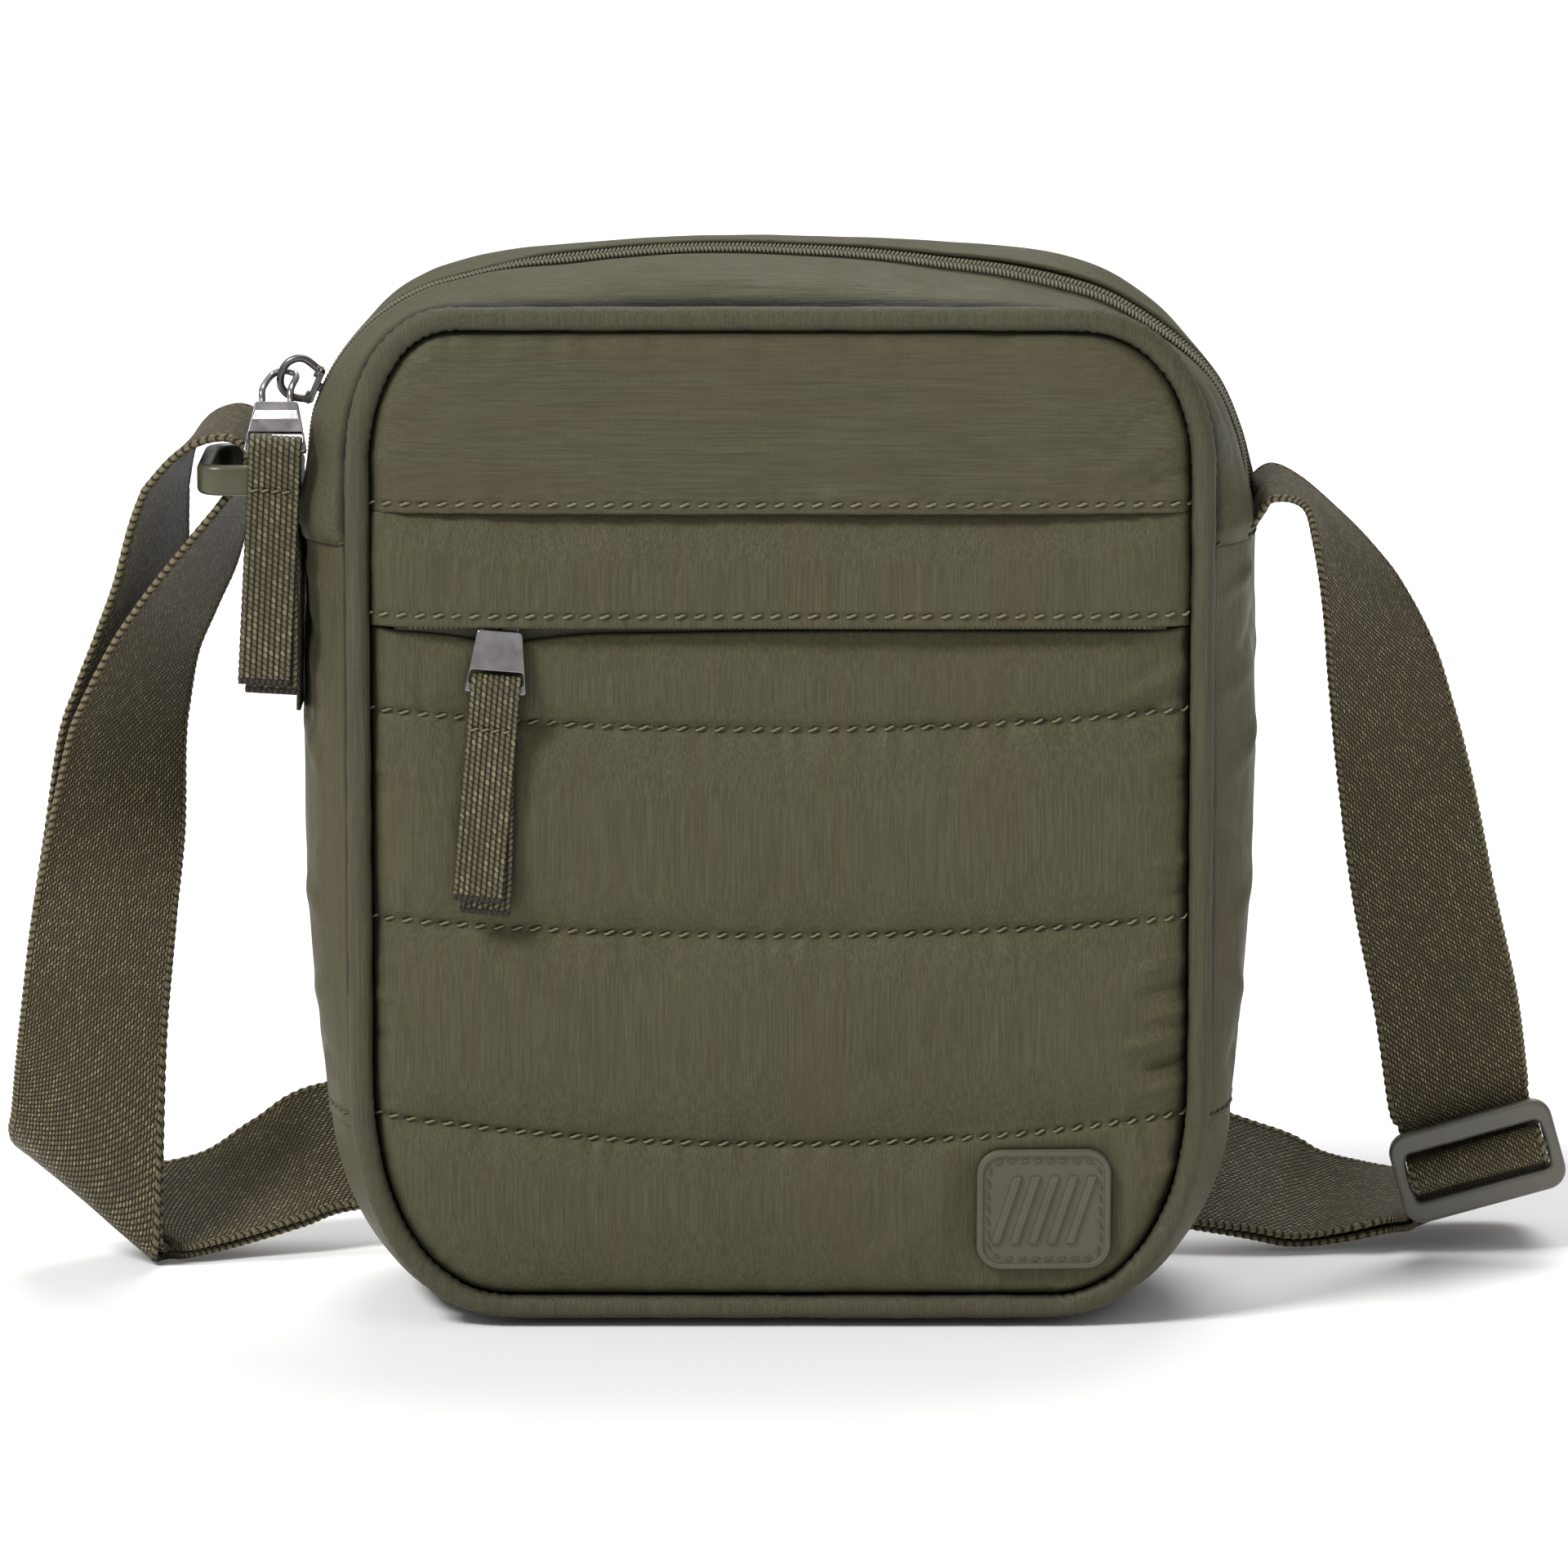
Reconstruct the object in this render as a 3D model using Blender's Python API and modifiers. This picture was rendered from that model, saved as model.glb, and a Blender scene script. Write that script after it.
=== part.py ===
"""Small crossbody purse: puffed nylon body with self-fabric piping, a quilted
zip pocket on the front, a zip round the top, two webbing zip pulls, and a
webbing shoulder strap that runs through a slide buckle, behind the body and
through a ring on the left.

Frame: origin at the bottom centre of the body, +Z up, +X to the wearer's
right-hand side as the front is looked at, and the front faces -Y.
"""
import bpy
import bmesh
import math
from mathutils import Vector, Matrix

MM = 0.001
GAP = 0.3                     # clearance between touching pieces, mm

# ---------------------------------------------------------------- dimensions (mm)
HALF_W = 94.4                 # piping outline, half width
Z_LOW = 2.0                   # piping outline, lowest point
Z_HIGH = 226.0                # piping outline, highest point
CORNER_TL = (24.0, 37.0)      # corner radii across and up
CORNER_TR = (31.0, 37.0)
CORNER_B = (36.0, 54.0)
CORNER_POWER = 2.2
PIPE_Y = 33.0                 # piping centre, front and back
PIPE_R = 2.5
PIPE_SKIN = 0.45
PANEL_INSET = 5.8             # panels stop this far inside the piping outline
CORD_R = 1.65
FABRIC = 0.8
SEAM_Z = 176.5                # top gusset meets the side gussets
SEAM_LOW_Z = 43.5             # side gussets meet the bottom gusset
FOLD_Z = 181.2                # top panel meets the band
FLAP_Z = 156.5                # band's free edge over the pocket zip
POCKET_TOP_Z = 153.4
ZIP_Z = 158.0                 # pocket zip's centre line
BULGE = 4.0                   # pocket's crown

# main zip: centre line of the crest
ZIP_Y = -6.0
ARC_C = (-62.3, 188.5)        # centre of the left-hand corner arc
ARC_R = 40.8
ARC_FROM, ARC_TO = 168.0, 104.0
ARCH_C = (-7.2, -30.1)
ARCH_R = 266.5
SLIDER_DEG = 156.9            # where the slider is parked on the arc
SLIT = 0.6                    # half the slit between the two halves of a zip

STRAP_W = 32.5
STRAP_T = 1.5
LAYER = 1.25                  # half the spacing of the two strap layers

# ---------------------------------------------------------------- scene
for old in list(bpy.data.objects):
    bpy.data.objects.remove(old, do_unlink=True)
PARTS = bpy.data.collections.new("crossbody_purse")
CUTTERS = bpy.data.collections.new("cutters")
bpy.context.scene.collection.children.link(PARTS)
bpy.context.scene.collection.children.link(CUTTERS)

COLOURS = {
    "shell": ((0.105, 0.100, 0.062, 1), 0.62, 0.0),
    "piping": ((0.110, 0.105, 0.068, 1), 0.60, 0.0),
    "lining": ((0.070, 0.066, 0.045, 1), 0.75, 0.0),
    "wadding": ((0.60, 0.60, 0.56, 1), 0.95, 0.0),
    "webbing": ((0.075, 0.062, 0.042, 1), 0.70, 0.0),
    "tape": ((0.10, 0.09, 0.06, 1), 0.75, 0.0),
    "coil": ((0.17, 0.155, 0.11, 1), 0.45, 0.0),
    "metal": ((0.30, 0.29, 0.29, 1), 0.30, 1.0),
    "painted": ((0.085, 0.080, 0.060, 1), 0.42, 0.25),
    "rubber": ((0.095, 0.092, 0.062, 1), 0.65, 0.0),
}


def material(name, look):
    colour, rough, metal = COLOURS[look]
    m = bpy.data.materials.new(name)
    m.use_nodes = True
    b = m.node_tree.nodes["Principled BSDF"]
    b.inputs["Base Color"].default_value = colour
    b.inputs["Roughness"].default_value = rough
    b.inputs["Metallic"].default_value = metal
    return m


def place(name, data, look):
    ob = bpy.data.objects.new(name, data)
    PARTS.objects.link(ob)
    ob.data.materials.append(material(name, look))
    return ob


def empty(name, pos):
    e = bpy.data.objects.new(name, None)
    e.location = Vector(pos) * MM
    PARTS.objects.link(e)
    return e


def hang(ob, parent):
    """Parent ob to an empty and keep its place; both origins are on the joint."""
    bpy.context.view_layer.update()
    ob.parent = parent
    ob.matrix_parent_inverse = parent.matrix_world.inverted()


def set_origin(ob, pos):
    p = Vector(pos) * MM
    ob.data.transform(Matrix.Translation(-p))
    ob.location = p


def sheet(name, rows, look, thickness, offset=-1.0, closed=False):
    """An open surface through rows of points, given thickness by Solidify.
    Its normal is (along a row) x (from row to row)."""
    bm = bmesh.new()
    grid = [[bm.verts.new(Vector(p) * MM) for p in row] for row in rows]
    n = len(rows)
    for i in range(n if closed else n - 1):
        a, b = grid[i], grid[(i + 1) % n]
        for j in range(len(a) - 1):
            bm.faces.new((a[j], a[j + 1], b[j + 1], b[j]))
    me = bpy.data.meshes.new(name)
    bm.to_mesh(me)
    bm.free()
    for p in me.polygons:
        p.use_smooth = True
    ob = place(name, me, look)
    s = ob.modifiers.new("thickness", "SOLIDIFY")
    s.thickness = thickness * MM
    s.offset = offset
    s.use_even_offset = True
    s.use_rim = True
    return ob


def tube(name, pts, radius, look, cyclic=False, resolution=2):
    cu = bpy.data.curves.new(name, "CURVE")
    cu.dimensions = "3D"
    sp = cu.splines.new("POLY")
    sp.points.add(len(pts) - 1)
    for k, p in enumerate(pts):
        sp.points[k].co = (p[0] * MM, p[1] * MM, p[2] * MM, 1)
    sp.use_cyclic_u = cyclic
    cu.bevel_depth = radius * MM
    cu.bevel_resolution = resolution
    cu.use_fill_caps = not cyclic
    return place(name, cu, look)


def flat(name, loops, thickness, look):
    """Flat outline in the local XY plane, extruded by half its thickness each way."""
    cu = bpy.data.curves.new(name, "CURVE")
    cu.dimensions = "2D"
    cu.fill_mode = "BOTH"
    cu.extrude = thickness * MM / 2
    for loop in loops:
        sp = cu.splines.new("POLY")
        sp.points.add(len(loop) - 1)
        for k, (x, y) in enumerate(loop):
            sp.points[k].co = (x * MM, y * MM, 0, 1)
        sp.use_cyclic_u = True
    return place(name, cu, look)


def box(name, size, look, bevel=0.0):
    bm = bmesh.new()
    bmesh.ops.create_cube(bm, size=1.0)
    for v in bm.verts:
        v.co = Vector((v.co.x * size[0], v.co.y * size[1], v.co.z * size[2])) * MM
    me = bpy.data.meshes.new(name)
    bm.to_mesh(me)
    bm.free()
    ob = place(name, me, look)
    if bevel:
        b = ob.modifiers.new("edges", "BEVEL")
        b.width = bevel * MM
        b.segments = 1
    return ob


def solid(ob):
    """The same piece as a mesh, so that Booleans can use it."""
    bpy.context.view_layer.update()
    got = bpy.data.meshes.new_from_object(ob.evaluated_get(bpy.context.evaluated_depsgraph_get()))
    bm = bmesh.new()
    bm.from_mesh(got)
    bmesh.ops.remove_doubles(bm, verts=bm.verts, dist=0.00002)
    bmesh.ops.recalc_face_normals(bm, faces=bm.faces)
    bm.to_mesh(got)
    bm.free()
    new = bpy.data.objects.new("x", got)
    new.matrix_world = ob.matrix_world.copy()
    PARTS.objects.link(new)
    name = ob.name
    bpy.data.objects.remove(ob, do_unlink=True)
    new.name = name
    return new


def round_rect(w, h, r, n=3, cx=0.0, cy=0.0):
    out = []
    for k, (sx, sy) in enumerate(((1, 1), (-1, 1), (-1, -1), (1, -1))):
        for i in range(n + 1):
            a = math.radians(90 * k + 90 * i / n)
            out.append((cx + sx * (w / 2 - r) + r * math.cos(a),
                        cy + sy * (h / 2 - r) + r * math.sin(a)))
    return out


def catmull(pts, per):
    """Smooth curve through the points, per steps for each span."""
    pts = [Vector(p) for p in pts]
    ends = [pts[0] * 2 - pts[1]] + pts + [pts[-1] * 2 - pts[-2]]
    out = []
    for i in range(1, len(ends) - 2):
        p0, p1, p2, p3 = ends[i - 1:i + 3]
        for k in range(per):
            t = k / per
            out.append(0.5 * ((2 * p1) + (p2 - p0) * t
                              + (2 * p0 - 5 * p1 + 4 * p2 - p3) * t * t
                              + (3 * p1 - p0 - 3 * p2 + p3) * t * t * t))
    out.append(pts[-1])
    return out


def resample(pts, n):
    """n points at equal steps along a polyline."""
    pts = [Vector(p) for p in pts]
    run = [0.0]
    for a, b in zip(pts, pts[1:]):
        run.append(run[-1] + (b - a).length)
    out = []
    j = 0
    for k in range(n):
        s = run[-1] * k / (n - 1)
        while j < len(run) - 2 and run[j + 1] < s:
            j += 1
        f = (s - run[j]) / max(run[j + 1] - run[j], 1e-9)
        out.append(pts[j].lerp(pts[j + 1], min(max(f, 0.0), 1.0)))
    return out


# ---------------------------------------------------------------- body outline
def corner(cx, cz, rx, rz, a0, a1, n):
    out = []
    for i in range(n + 1):
        a = math.radians(a0 + (a1 - a0) * i / n)
        c, s = math.cos(a), math.sin(a)
        e = 2.0 / CORNER_POWER
        out.append((cx + rx * math.copysign(abs(c) ** e, c),
                    cz + rz * math.copysign(abs(s) ** e, s)))
    return out


def outline(inset=0.0, n=7):
    """Piping outline, moved inwards; anticlockwise as seen from the front,
    starting at the top of the right-hand side."""
    w, lo, hi = HALF_W - inset, Z_LOW + inset, Z_HIGH - inset
    r = [tuple(max(v - inset, 3.0) for v in c) for c in (CORNER_TR, CORNER_TL, CORNER_B, CORNER_B)]
    pts = corner(w - r[0][0], hi - r[0][1], r[0][0], r[0][1], 0, 90, n)
    pts += corner(-w + r[1][0], hi - r[1][1], r[1][0], r[1][1], 90, 180, n)
    pts += corner(-w + r[2][0], lo + r[2][1], r[2][0], r[2][1], 180, 270, n)
    pts += corner(w - r[3][0], lo + r[3][1], r[3][0], r[3][1], 270, 360, n)
    return pts


def span_at(z, inset):
    """Left and right edge of the inset outline at height z."""
    pts = outline(inset, 40)
    xs = []
    for a, b in zip(pts, pts[1:] + pts[:1]):
        if (a[1] - z) * (b[1] - z) <= 0 and a[1] != b[1]:
            xs.append(a[0] + (b[0] - a[0]) * (z - a[1]) / (b[1] - a[1]))
    return min(xs), max(xs)


def heights(z0, z1, n, inset):
    """Row heights, closer together in the rounded corners."""
    lo, hi = Z_LOW + inset, Z_HIGH - inset
    z0, z1 = max(z0, lo + 0.25), min(z1, hi - 0.25)
    out = []
    for i in range(n + 1):
        t = i / n
        if z1 > hi - 1:
            t = 1 - (1 - t) ** 1.8
        elif z0 < lo + 1:
            t = t ** 1.8
        out.append(z0 + (z1 - z0) * t)
    return out


def crown(x, z, zc, hz, hw=90.0):
    return max(0.0, 1 - (x / hw) ** 2) * max(0.0, 1 - ((z - zc) / hz) ** 2)


def panel(name, z0, z1, inset, y_of, look, thickness, rows=6, cols=8, front=True):
    """A panel that fills the outline between two heights. y_of gives its outer
    face; the thickness grows away from that face."""
    grid = []
    for z in heights(z0, z1, rows, inset):
        a, b = span_at(z, inset)
        row = []
        for j in range(cols + 1):
            t = 0.5 - 0.5 * math.cos(math.pi * j / cols) if cols > 3 else j / cols
            x = a + (b - a) * (0.35 * t + 0.65 * j / cols)
            row.append((x, y_of(x, z), z))
        grid.append(row if front else row[::-1])
    return sheet(name, grid, look, thickness)


# ---------------------------------------------------------------- front panels
def y_pocket(x, z):
    return -34.5 - BULGE * crown(x, z, 78.0, 80.0)


panel("front_top_panel", FOLD_Z + 0.2, 999, PANEL_INSET,
      lambda x, z: -34.6 - 1.6 * crown(x, z, 200.0, 30.0), "shell", FABRIC)
panel("front_middle_panel", FLAP_Z, FOLD_Z - 0.2, PANEL_INSET,
      lambda x, z: -37.7 - 0.9 * (1 - (x / 90.0) ** 4) * max(0.0, (172.0 - z) / 15.5)
      + 3.2 * max(max(0.0, (z - 171.0) / 10.0), (abs(x) / 90.0) ** 8),
      "shell", FABRIC, rows=4)
panel("pocket_front_panel", -9, POCKET_TOP_Z, PANEL_INSET, y_pocket, "shell", FABRIC, rows=9)
panel("pocket_wadding", 10, 146.0, 8.5,
      lambda x, z: y_pocket(x, z) + FABRIC + GAP + 0.1, "wadding", 2.2, rows=8, cols=6)
panel("pocket_back_panel", -9, 175.0, 4.0, lambda x, z: -27.6, "lining", 0.6, rows=9, cols=2)

# pocket zip, hidden behind the band's free edge
ZIP_X0, ZIP_X1 = -84.0, 84.0


def bar_x(name, x0, x1, y0, y1, z0, z1, look, bevel=0.0):
    ob = box(name, (x1 - x0, y1 - y0, z1 - z0), look, bevel)
    ob.location = Vector(((x0 + x1) / 2, (y0 + y1) / 2, (z0 + z1) / 2)) * MM
    return ob


bar_x("pocket_zip_tape_upper", ZIP_X0, ZIP_X1, -33.3, -32.8, ZIP_Z + SLIT, 167.5, "tape")
bar_x("pocket_zip_tape_lower", ZIP_X0, ZIP_X1, -33.3, -32.8, 147.0, ZIP_Z - SLIT, "tape")
bar_x("pocket_zip_coil_upper", ZIP_X0 + 3, ZIP_X1 - 3, -35.0, -33.6, ZIP_Z + SLIT, ZIP_Z + 2.2, "coil", 0.35)
bar_x("pocket_zip_coil_lower", ZIP_X0 + 3, ZIP_X1 - 3, -35.0, -33.6, ZIP_Z - 2.2, ZIP_Z - SLIT, "coil", 0.35)


# ---------------------------------------------------------------- piping
def ring_normals(pts):
    n = len(pts)
    out = []
    for i in range(n):
        a, b = Vector(pts[i - 1]), Vector(pts[(i + 1) % n])
        t = (b - a).normalized()
        out.append(Vector((t.y, -t.x)))       # points outwards
    return out


def piping(name, y, sign):
    path = [Vector(p) for p in outline(PIPE_R, 7)]
    nrm = ring_normals(path)
    rows = []
    for p, n in zip(path, nrm):
        row = []
        for k in range(9):
            # the wrap stays open towards the seam inside the body
            a = math.radians(-30 + 300 * k / 8)
            out, fwd = math.cos(a + math.pi * 2 / 3), math.sin(a + math.pi * 2 / 3)
            row.append((p.x + n.x * PIPE_R * fwd, y - sign * PIPE_R * out, p.y + n.y * PIPE_R * fwd))
        rows.append(row if sign < 0 else row[::-1])
    return sheet(name, rows, "piping", PIPE_SKIN, closed=True)


piping("front_piping", -PIPE_Y, -1)
piping("back_piping", PIPE_Y, 1)
for name, y in (("front_piping_cord", -PIPE_Y), ("back_piping_cord", PIPE_Y)):
    tube(name, [(x, y, z) for x, z in outline(PIPE_R, 7)], CORD_R, "wadding", cyclic=True, resolution=1)

# ---------------------------------------------------------------- back
panel("back_panel", -9, 999, PANEL_INSET,
      lambda x, z: 34.6 + 1.4 * crown(x, z, 114.0, 112.0), "shell", FABRIC, rows=12, cols=6, front=False)
panel("back_wadding", 10, 218, 8.5,
      lambda x, z: 33.4 + 1.4 * crown(x, z, 114.0, 112.0), "wadding", 3.0, rows=8, cols=4, front=False)
panel("lining_back", -9, 222.5, 4.0, lambda x, z: 29.2, "lining", 0.6, rows=10, cols=2, front=False)
panel("lining_front", -9, 222.5, 4.0, lambda x, z: -26.4, "lining", 0.6, rows=10, cols=2)


# ---------------------------------------------------------------- gussets
def crest_curve():
    """Centre line of the main zip, from the left seam over the top to the right seam."""
    pts = [(-103.6, SEAM_Z), (-103.3, 184.0)]
    for i in range(9):
        a = math.radians(ARC_FROM + (ARC_TO - ARC_FROM) * i / 8)
        pts.append((ARC_C[0] + ARC_R * math.cos(a), ARC_C[1] + ARC_R * math.sin(a)))
    for x in (-55, -30, -7, 18, 40):
        pts.append((x, ARCH_C[1] + math.sqrt(ARCH_R ** 2 - (x - ARCH_C[0]) ** 2)))
    pts += [(60.0, 227.6), (74.0, 223.4), (86.0, 217.0), (95.5, 207.5), (100.8, 196.0), (103.0, 185.0), (103.2, SEAM_Z)]
    return [Vector((p[0], p[1])) for p in pts]


def edge_curve(inset):
    """Piping outline over the top, between the two upper seams."""
    pts = [Vector(p) for p in outline(inset, 10)]
    w = HALF_W - inset
    top = [p for p in pts if p.y > SEAM_Z + 1]
    return [Vector((w, SEAM_Z))] + top + [Vector((-w, SEAM_Z))]


def radial(pts):
    """Outward normals of an open curve that runs left to right over the top."""
    out = []
    for i in range(len(pts)):
        a, b = pts[max(i - 1, 0)], pts[min(i + 1, len(pts) - 1)]
        t = (b - a).normalized()
        out.append(Vector((-t.y, t.x)))
    return out


N_TOP = 34
CREST = resample([(p.x, p.y, 0) for p in crest_curve()], N_TOP)
CREST = [Vector((p.x, p.y)) for p in CREST]
CREST_N = radial(CREST)
EDGE = resample([(p.x, p.y, 0) for p in reversed(edge_curve(1.4))], N_TOP)
EDGE = [Vector((p.x, p.y)) for p in EDGE]


def gusset_half(name, y_edge, y_zip, lift, thickness, look, inset=0.0, cols=4):
    """One side of the top gusset, from the piping to the folded edge beside the zip."""
    rows = []
    for e, c, n in zip(EDGE, CREST, CREST_N):
        top = c + n * (lift - inset)
        low = e - n * inset
        row = []
        for k in range(cols + 1):
            t = k / cols
            rise = math.sin(t * math.pi / 2) ** 0.9
            p = low.lerp(top, rise)
            row.append((p.x, y_edge + (y_zip - y_edge) * t, p.y))
        rows.append(row[::-1] if y_edge < y_zip else row)
    return sheet(name, rows, look, thickness)


gusset_half("top_gusset_front", -30.1, ZIP_Y - 4.3, 1.6, FABRIC, "shell")
gusset_half("top_gusset_back", 30.1, ZIP_Y + 4.3, 1.6, FABRIC, "shell", cols=5)


ZIP_LINE = crest_curve()


def along_crest(name, y0, y1, r0, r1, look, first=0, last=99):
    """A strip that follows the main zip, between two distances from its crest."""
    rows = []
    for c, n in list(zip(ZIP_LINE, radial(ZIP_LINE)))[first:last]:
        p = c + n * r1
        rows.append([(p.x, y1, p.y), (p.x, y0, p.y)])
    return sheet(name, rows, look, r1 - r0)


along_crest("main_zip_tape_front", ZIP_Y - 6.0, ZIP_Y - SLIT, -0.5, 0.0, "tape")
along_crest("main_zip_tape_back", ZIP_Y + SLIT, ZIP_Y + 6.0, -0.5, 0.0, "tape")
along_crest("main_zip_coil_front", ZIP_Y - 2.2, ZIP_Y - SLIT, 0.3, 1.7, "coil", 1, -1)
along_crest("main_zip_coil_back", ZIP_Y + SLIT, ZIP_Y + 2.2, 0.3, 1.7, "coil", 1, -1)


def side_x(z):
    """How far the side gusset's middle stands out at height z."""
    t = (z - 112.0) / 68.0
    return 105.0 - 1.6 * t * t - (3.2 * max(0.0, -t) ** 2.2 if t < 0 else 0.0)


def side_gusset(name, sign):
    rows = []
    for i in range(9):
        z = SEAM_LOW_Z + 0.3 + (SEAM_Z - 0.3 - SEAM_LOW_Z - 0.3) * i / 8
        a, b = span_at(z, 1.4)
        row = []
        for k in range(9):
            t = -1 + 2 * k / 8
            x = b + (side_x(z) - b) * (1 - abs(t) ** 2.3)
            row.append((sign * x, sign * 30.1 * t, z))
        rows.append(row)
    return sheet(name, rows, "shell", FABRIC)


side_gusset("side_gusset_right", 1)
side_gusset("side_gusset_left", -1)


def lower_curve(inset, n=12):
    """Outline round the bottom, from the left lower seam to the right one."""
    pts = [Vector(p) for p in outline(inset, 14)]
    low = [p for p in pts if p.y < SEAM_LOW_Z - 0.8]
    low.sort(key=lambda p: math.atan2(p.x, -(p.y - 60.0)))
    z = SEAM_LOW_Z - 0.3
    a, b = span_at(z, inset)
    return resample([(a, z, 0)] + [(p.x, p.y, 0) for p in low] + [(b, z, 0)], n)


def bottom_rows(inset, n=25, cols=8):
    edge = [Vector((p.x, p.y)) for p in lower_curve(1.4, n)]
    rows = []
    for i, p in enumerate(edge):
        a, b = edge[max(i - 1, 0)], edge[min(i + 1, n - 1)]
        t = (b - a).normalized()
        nrm = Vector((t.y, -t.x))
        side = abs(nrm.x)
        stand = 8.2 * side ** 2 + 5.5 * (1 - side ** 2)
        row = []
        for k in range(cols + 1):
            v = -1 + 2 * k / cols
            q = p + nrm * (stand * (1 - abs(v) ** 2.3) - inset)
            row.append((q.x, 30.1 * v, max(q.y, inset)))
        rows.append(row)
    return rows


sheet("bottom_gusset", bottom_rows(0.0), "shell", FABRIC)


LINING_IN = 2.8


def lining_rows():
    rows = []
    for z in (174.0, 140.0, 105.0, 75.0):
        a, b = span_at(z, 1.4)
        rows.append([(-(b + (side_x(z) - b) * (1 - abs(v) ** 2.3)) + LINING_IN, 24.0 * v, z) for v in (1, 0.5, 0, -0.5, -1)])
    rows += [[(p[0], p[1] * 24.0 / 30.1, p[2]) for p in row[::-1]] for row in bottom_rows(LINING_IN, 17, 4)]
    for z in (75.0, 105.0, 140.0, 174.0):
        a, b = span_at(z, 1.4)
        rows.append([((b + (side_x(z) - b) * (1 - abs(v) ** 2.3)) - LINING_IN, 24.0 * v, z) for v in (1, 0.5, 0, -0.5, -1)])
    return rows


sheet("lining_gusset", lining_rows(), "lining", 0.5)

# ---------------------------------------------------------------- badge
BADGE = (57.8, 27.3)
BADGE_T = 1.6
badge = flat("badge", [round_rect(29.5, 27.0, 5.5, 4)], BADGE_T, "rubber")
by = y_pocket(*BADGE)
ex = Vector((1, y_pocket(BADGE[0] + 1, BADGE[1]) - by, 0)).normalized()
ez = Vector((0, y_pocket(BADGE[0], BADGE[1] + 1) - by, 1))
ez = (ez - ex * ez.dot(ex)).normalized()
ey = ex.cross(ez)
m = Matrix((ex, ez, ey)).transposed().to_4x4()
m.translation = (Vector((BADGE[0], by, BADGE[1])) + ey * (BADGE_T / 2 + 0.35)) * MM
badge.matrix_world = m

# ---------------------------------------------------------------- main zip slider
A = math.radians(SLIDER_DEG)
RAD = Vector((math.cos(A), 0, math.sin(A)))                    # outwards from the arc
TAN = Vector((math.sin(A), 0, -math.cos(A)))                   # along the zip, upwards
SLIDE_AXIS = (ARC_C[0], ZIP_Y, ARC_C[1])
slider_axis = empty("main_slider_axis", SLIDE_AXIS)


def on_arc(r, t, y=ZIP_Y):
    p = Vector((ARC_C[0], 0, ARC_C[1])) + RAD * r + TAN * t
    return Vector((p.x, y, p.z))


def join(ob, others):
    for o in others:
        PARTS.objects.unlink(o)
        CUTTERS.objects.link(o)
        o.hide_render = True
        o.display_type = "WIRE"
        m = ob.modifiers.new("join", "BOOLEAN")
        m.operation = "UNION"
        m.object = o
        m.solver = "EXACT"
    return ob


def slider_plates(name, frame, look, l=8.6, w=7.2, inner=-2.15, outer=2.05, plate=0.9):
    """Top plate, inner plate and the thin neck that passes between the zip's halves.
    frame(r, t) gives a point at height r over the tape and distance t along it."""
    def slab(n, r0, r1, lx, wy):
        ob = box(n, (lx, wy, r1 - r0), look, 0.0)
        ob.matrix_world = frame((r0 + r1) / 2)
        return ob
    top = slab(name, outer, outer + plate, l, w)
    inn = slab(name + "_inner", inner, inner + plate, l, w - 0.4)
    neck = slab(name + "_neck", inner + 0.3, outer + 0.4, 2.0, 2 * (SLIT - 0.3))
    return join(top, [inn, neck])


def main_frame(r):
    m = Matrix((TAN, Vector((0, 1, 0)), RAD)).transposed().to_4x4()
    m.translation = on_arc(ARC_R + r, 0.0) * MM
    return m


main_slider = slider_plates("main_slider_body", main_frame, "metal")
hang(main_slider, slider_axis)

bail = catmull([on_arc(ARC_R + 2.6, 3.3), on_arc(ARC_R + 7.0, 4.4), on_arc(ARC_R + 9.7, 2.6),
                on_arc(ARC_R + 10.3, -0.4), on_arc(ARC_R + 9.2, -3.2), on_arc(ARC_R + 6.4, -4.3),
                on_arc(ARC_R + 2.6, -3.3)], 3)
join(main_slider, [solid(tube("main_slider_bail", bail, 0.85, "metal"))])

# wire loop that hangs on the bail, tag, and webbing pull
HOOK = on_arc(ARC_R + 10.3, -0.4)
PULL_AXIS = Vector((HOOK.x + 1.0, HOOK.y + 2.0, HOOK.z))
pull_axis = empty("main_pull_axis", PULL_AXIS)
TAG_TOP = Vector((PULL_AXIS.x - 1.7, -14.6, PULL_AXIS.z - 5.4))
TAG_LEAN = math.radians(36.0)
DOWN = Vector((0, -math.sin(TAG_LEAN), -math.cos(TAG_LEAN)))


def tag_point(x, d):
    p = TAG_TOP + DOWN * d
    return Vector((p.x + x, p.y, p.z))


LEG = 3.1
wire = catmull([tag_point(-LEG, -0.4), tag_point(-LEG, -3.4), Vector((PULL_AXIS.x - LEG - 0.3, PULL_AXIS.y - 1.2, PULL_AXIS.z - 0.9)),
                Vector((PULL_AXIS.x - LEG + 1.4, PULL_AXIS.y, PULL_AXIS.z)),
                Vector((PULL_AXIS.x + LEG - 2.4, PULL_AXIS.y, PULL_AXIS.z)),
                Vector((PULL_AXIS.x + LEG - 0.9, PULL_AXIS.y - 1.2, PULL_AXIS.z - 0.9)),
                tag_point(LEG, -3.4), tag_point(LEG, -0.4)], 3)
ob = tube("main_pull_wire", wire, 0.75, "metal")
hang(ob, pull_axis)


def tag_loops(w_top, w_low, h, slot_d, bar, window=None):
    """Tapered tag, y down from 0; a slot near its lower end carries the webbing."""
    c = 0.9
    outer = [(-w_top / 2 + c, 0), (-w_top / 2, -c), (-w_low / 2, -h + c), (-w_low / 2 + c, -h),
             (w_low / 2 - c, -h), (w_low / 2, -h + c), (w_top / 2, -c), (w_top / 2 - c, 0)]
    loops = [outer, round_rect(w_low - 1.9, slot_d, 0.6, 2, 0, -h + bar + slot_d / 2)]
    if window:
        loops.append(window)
    return loops


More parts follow.
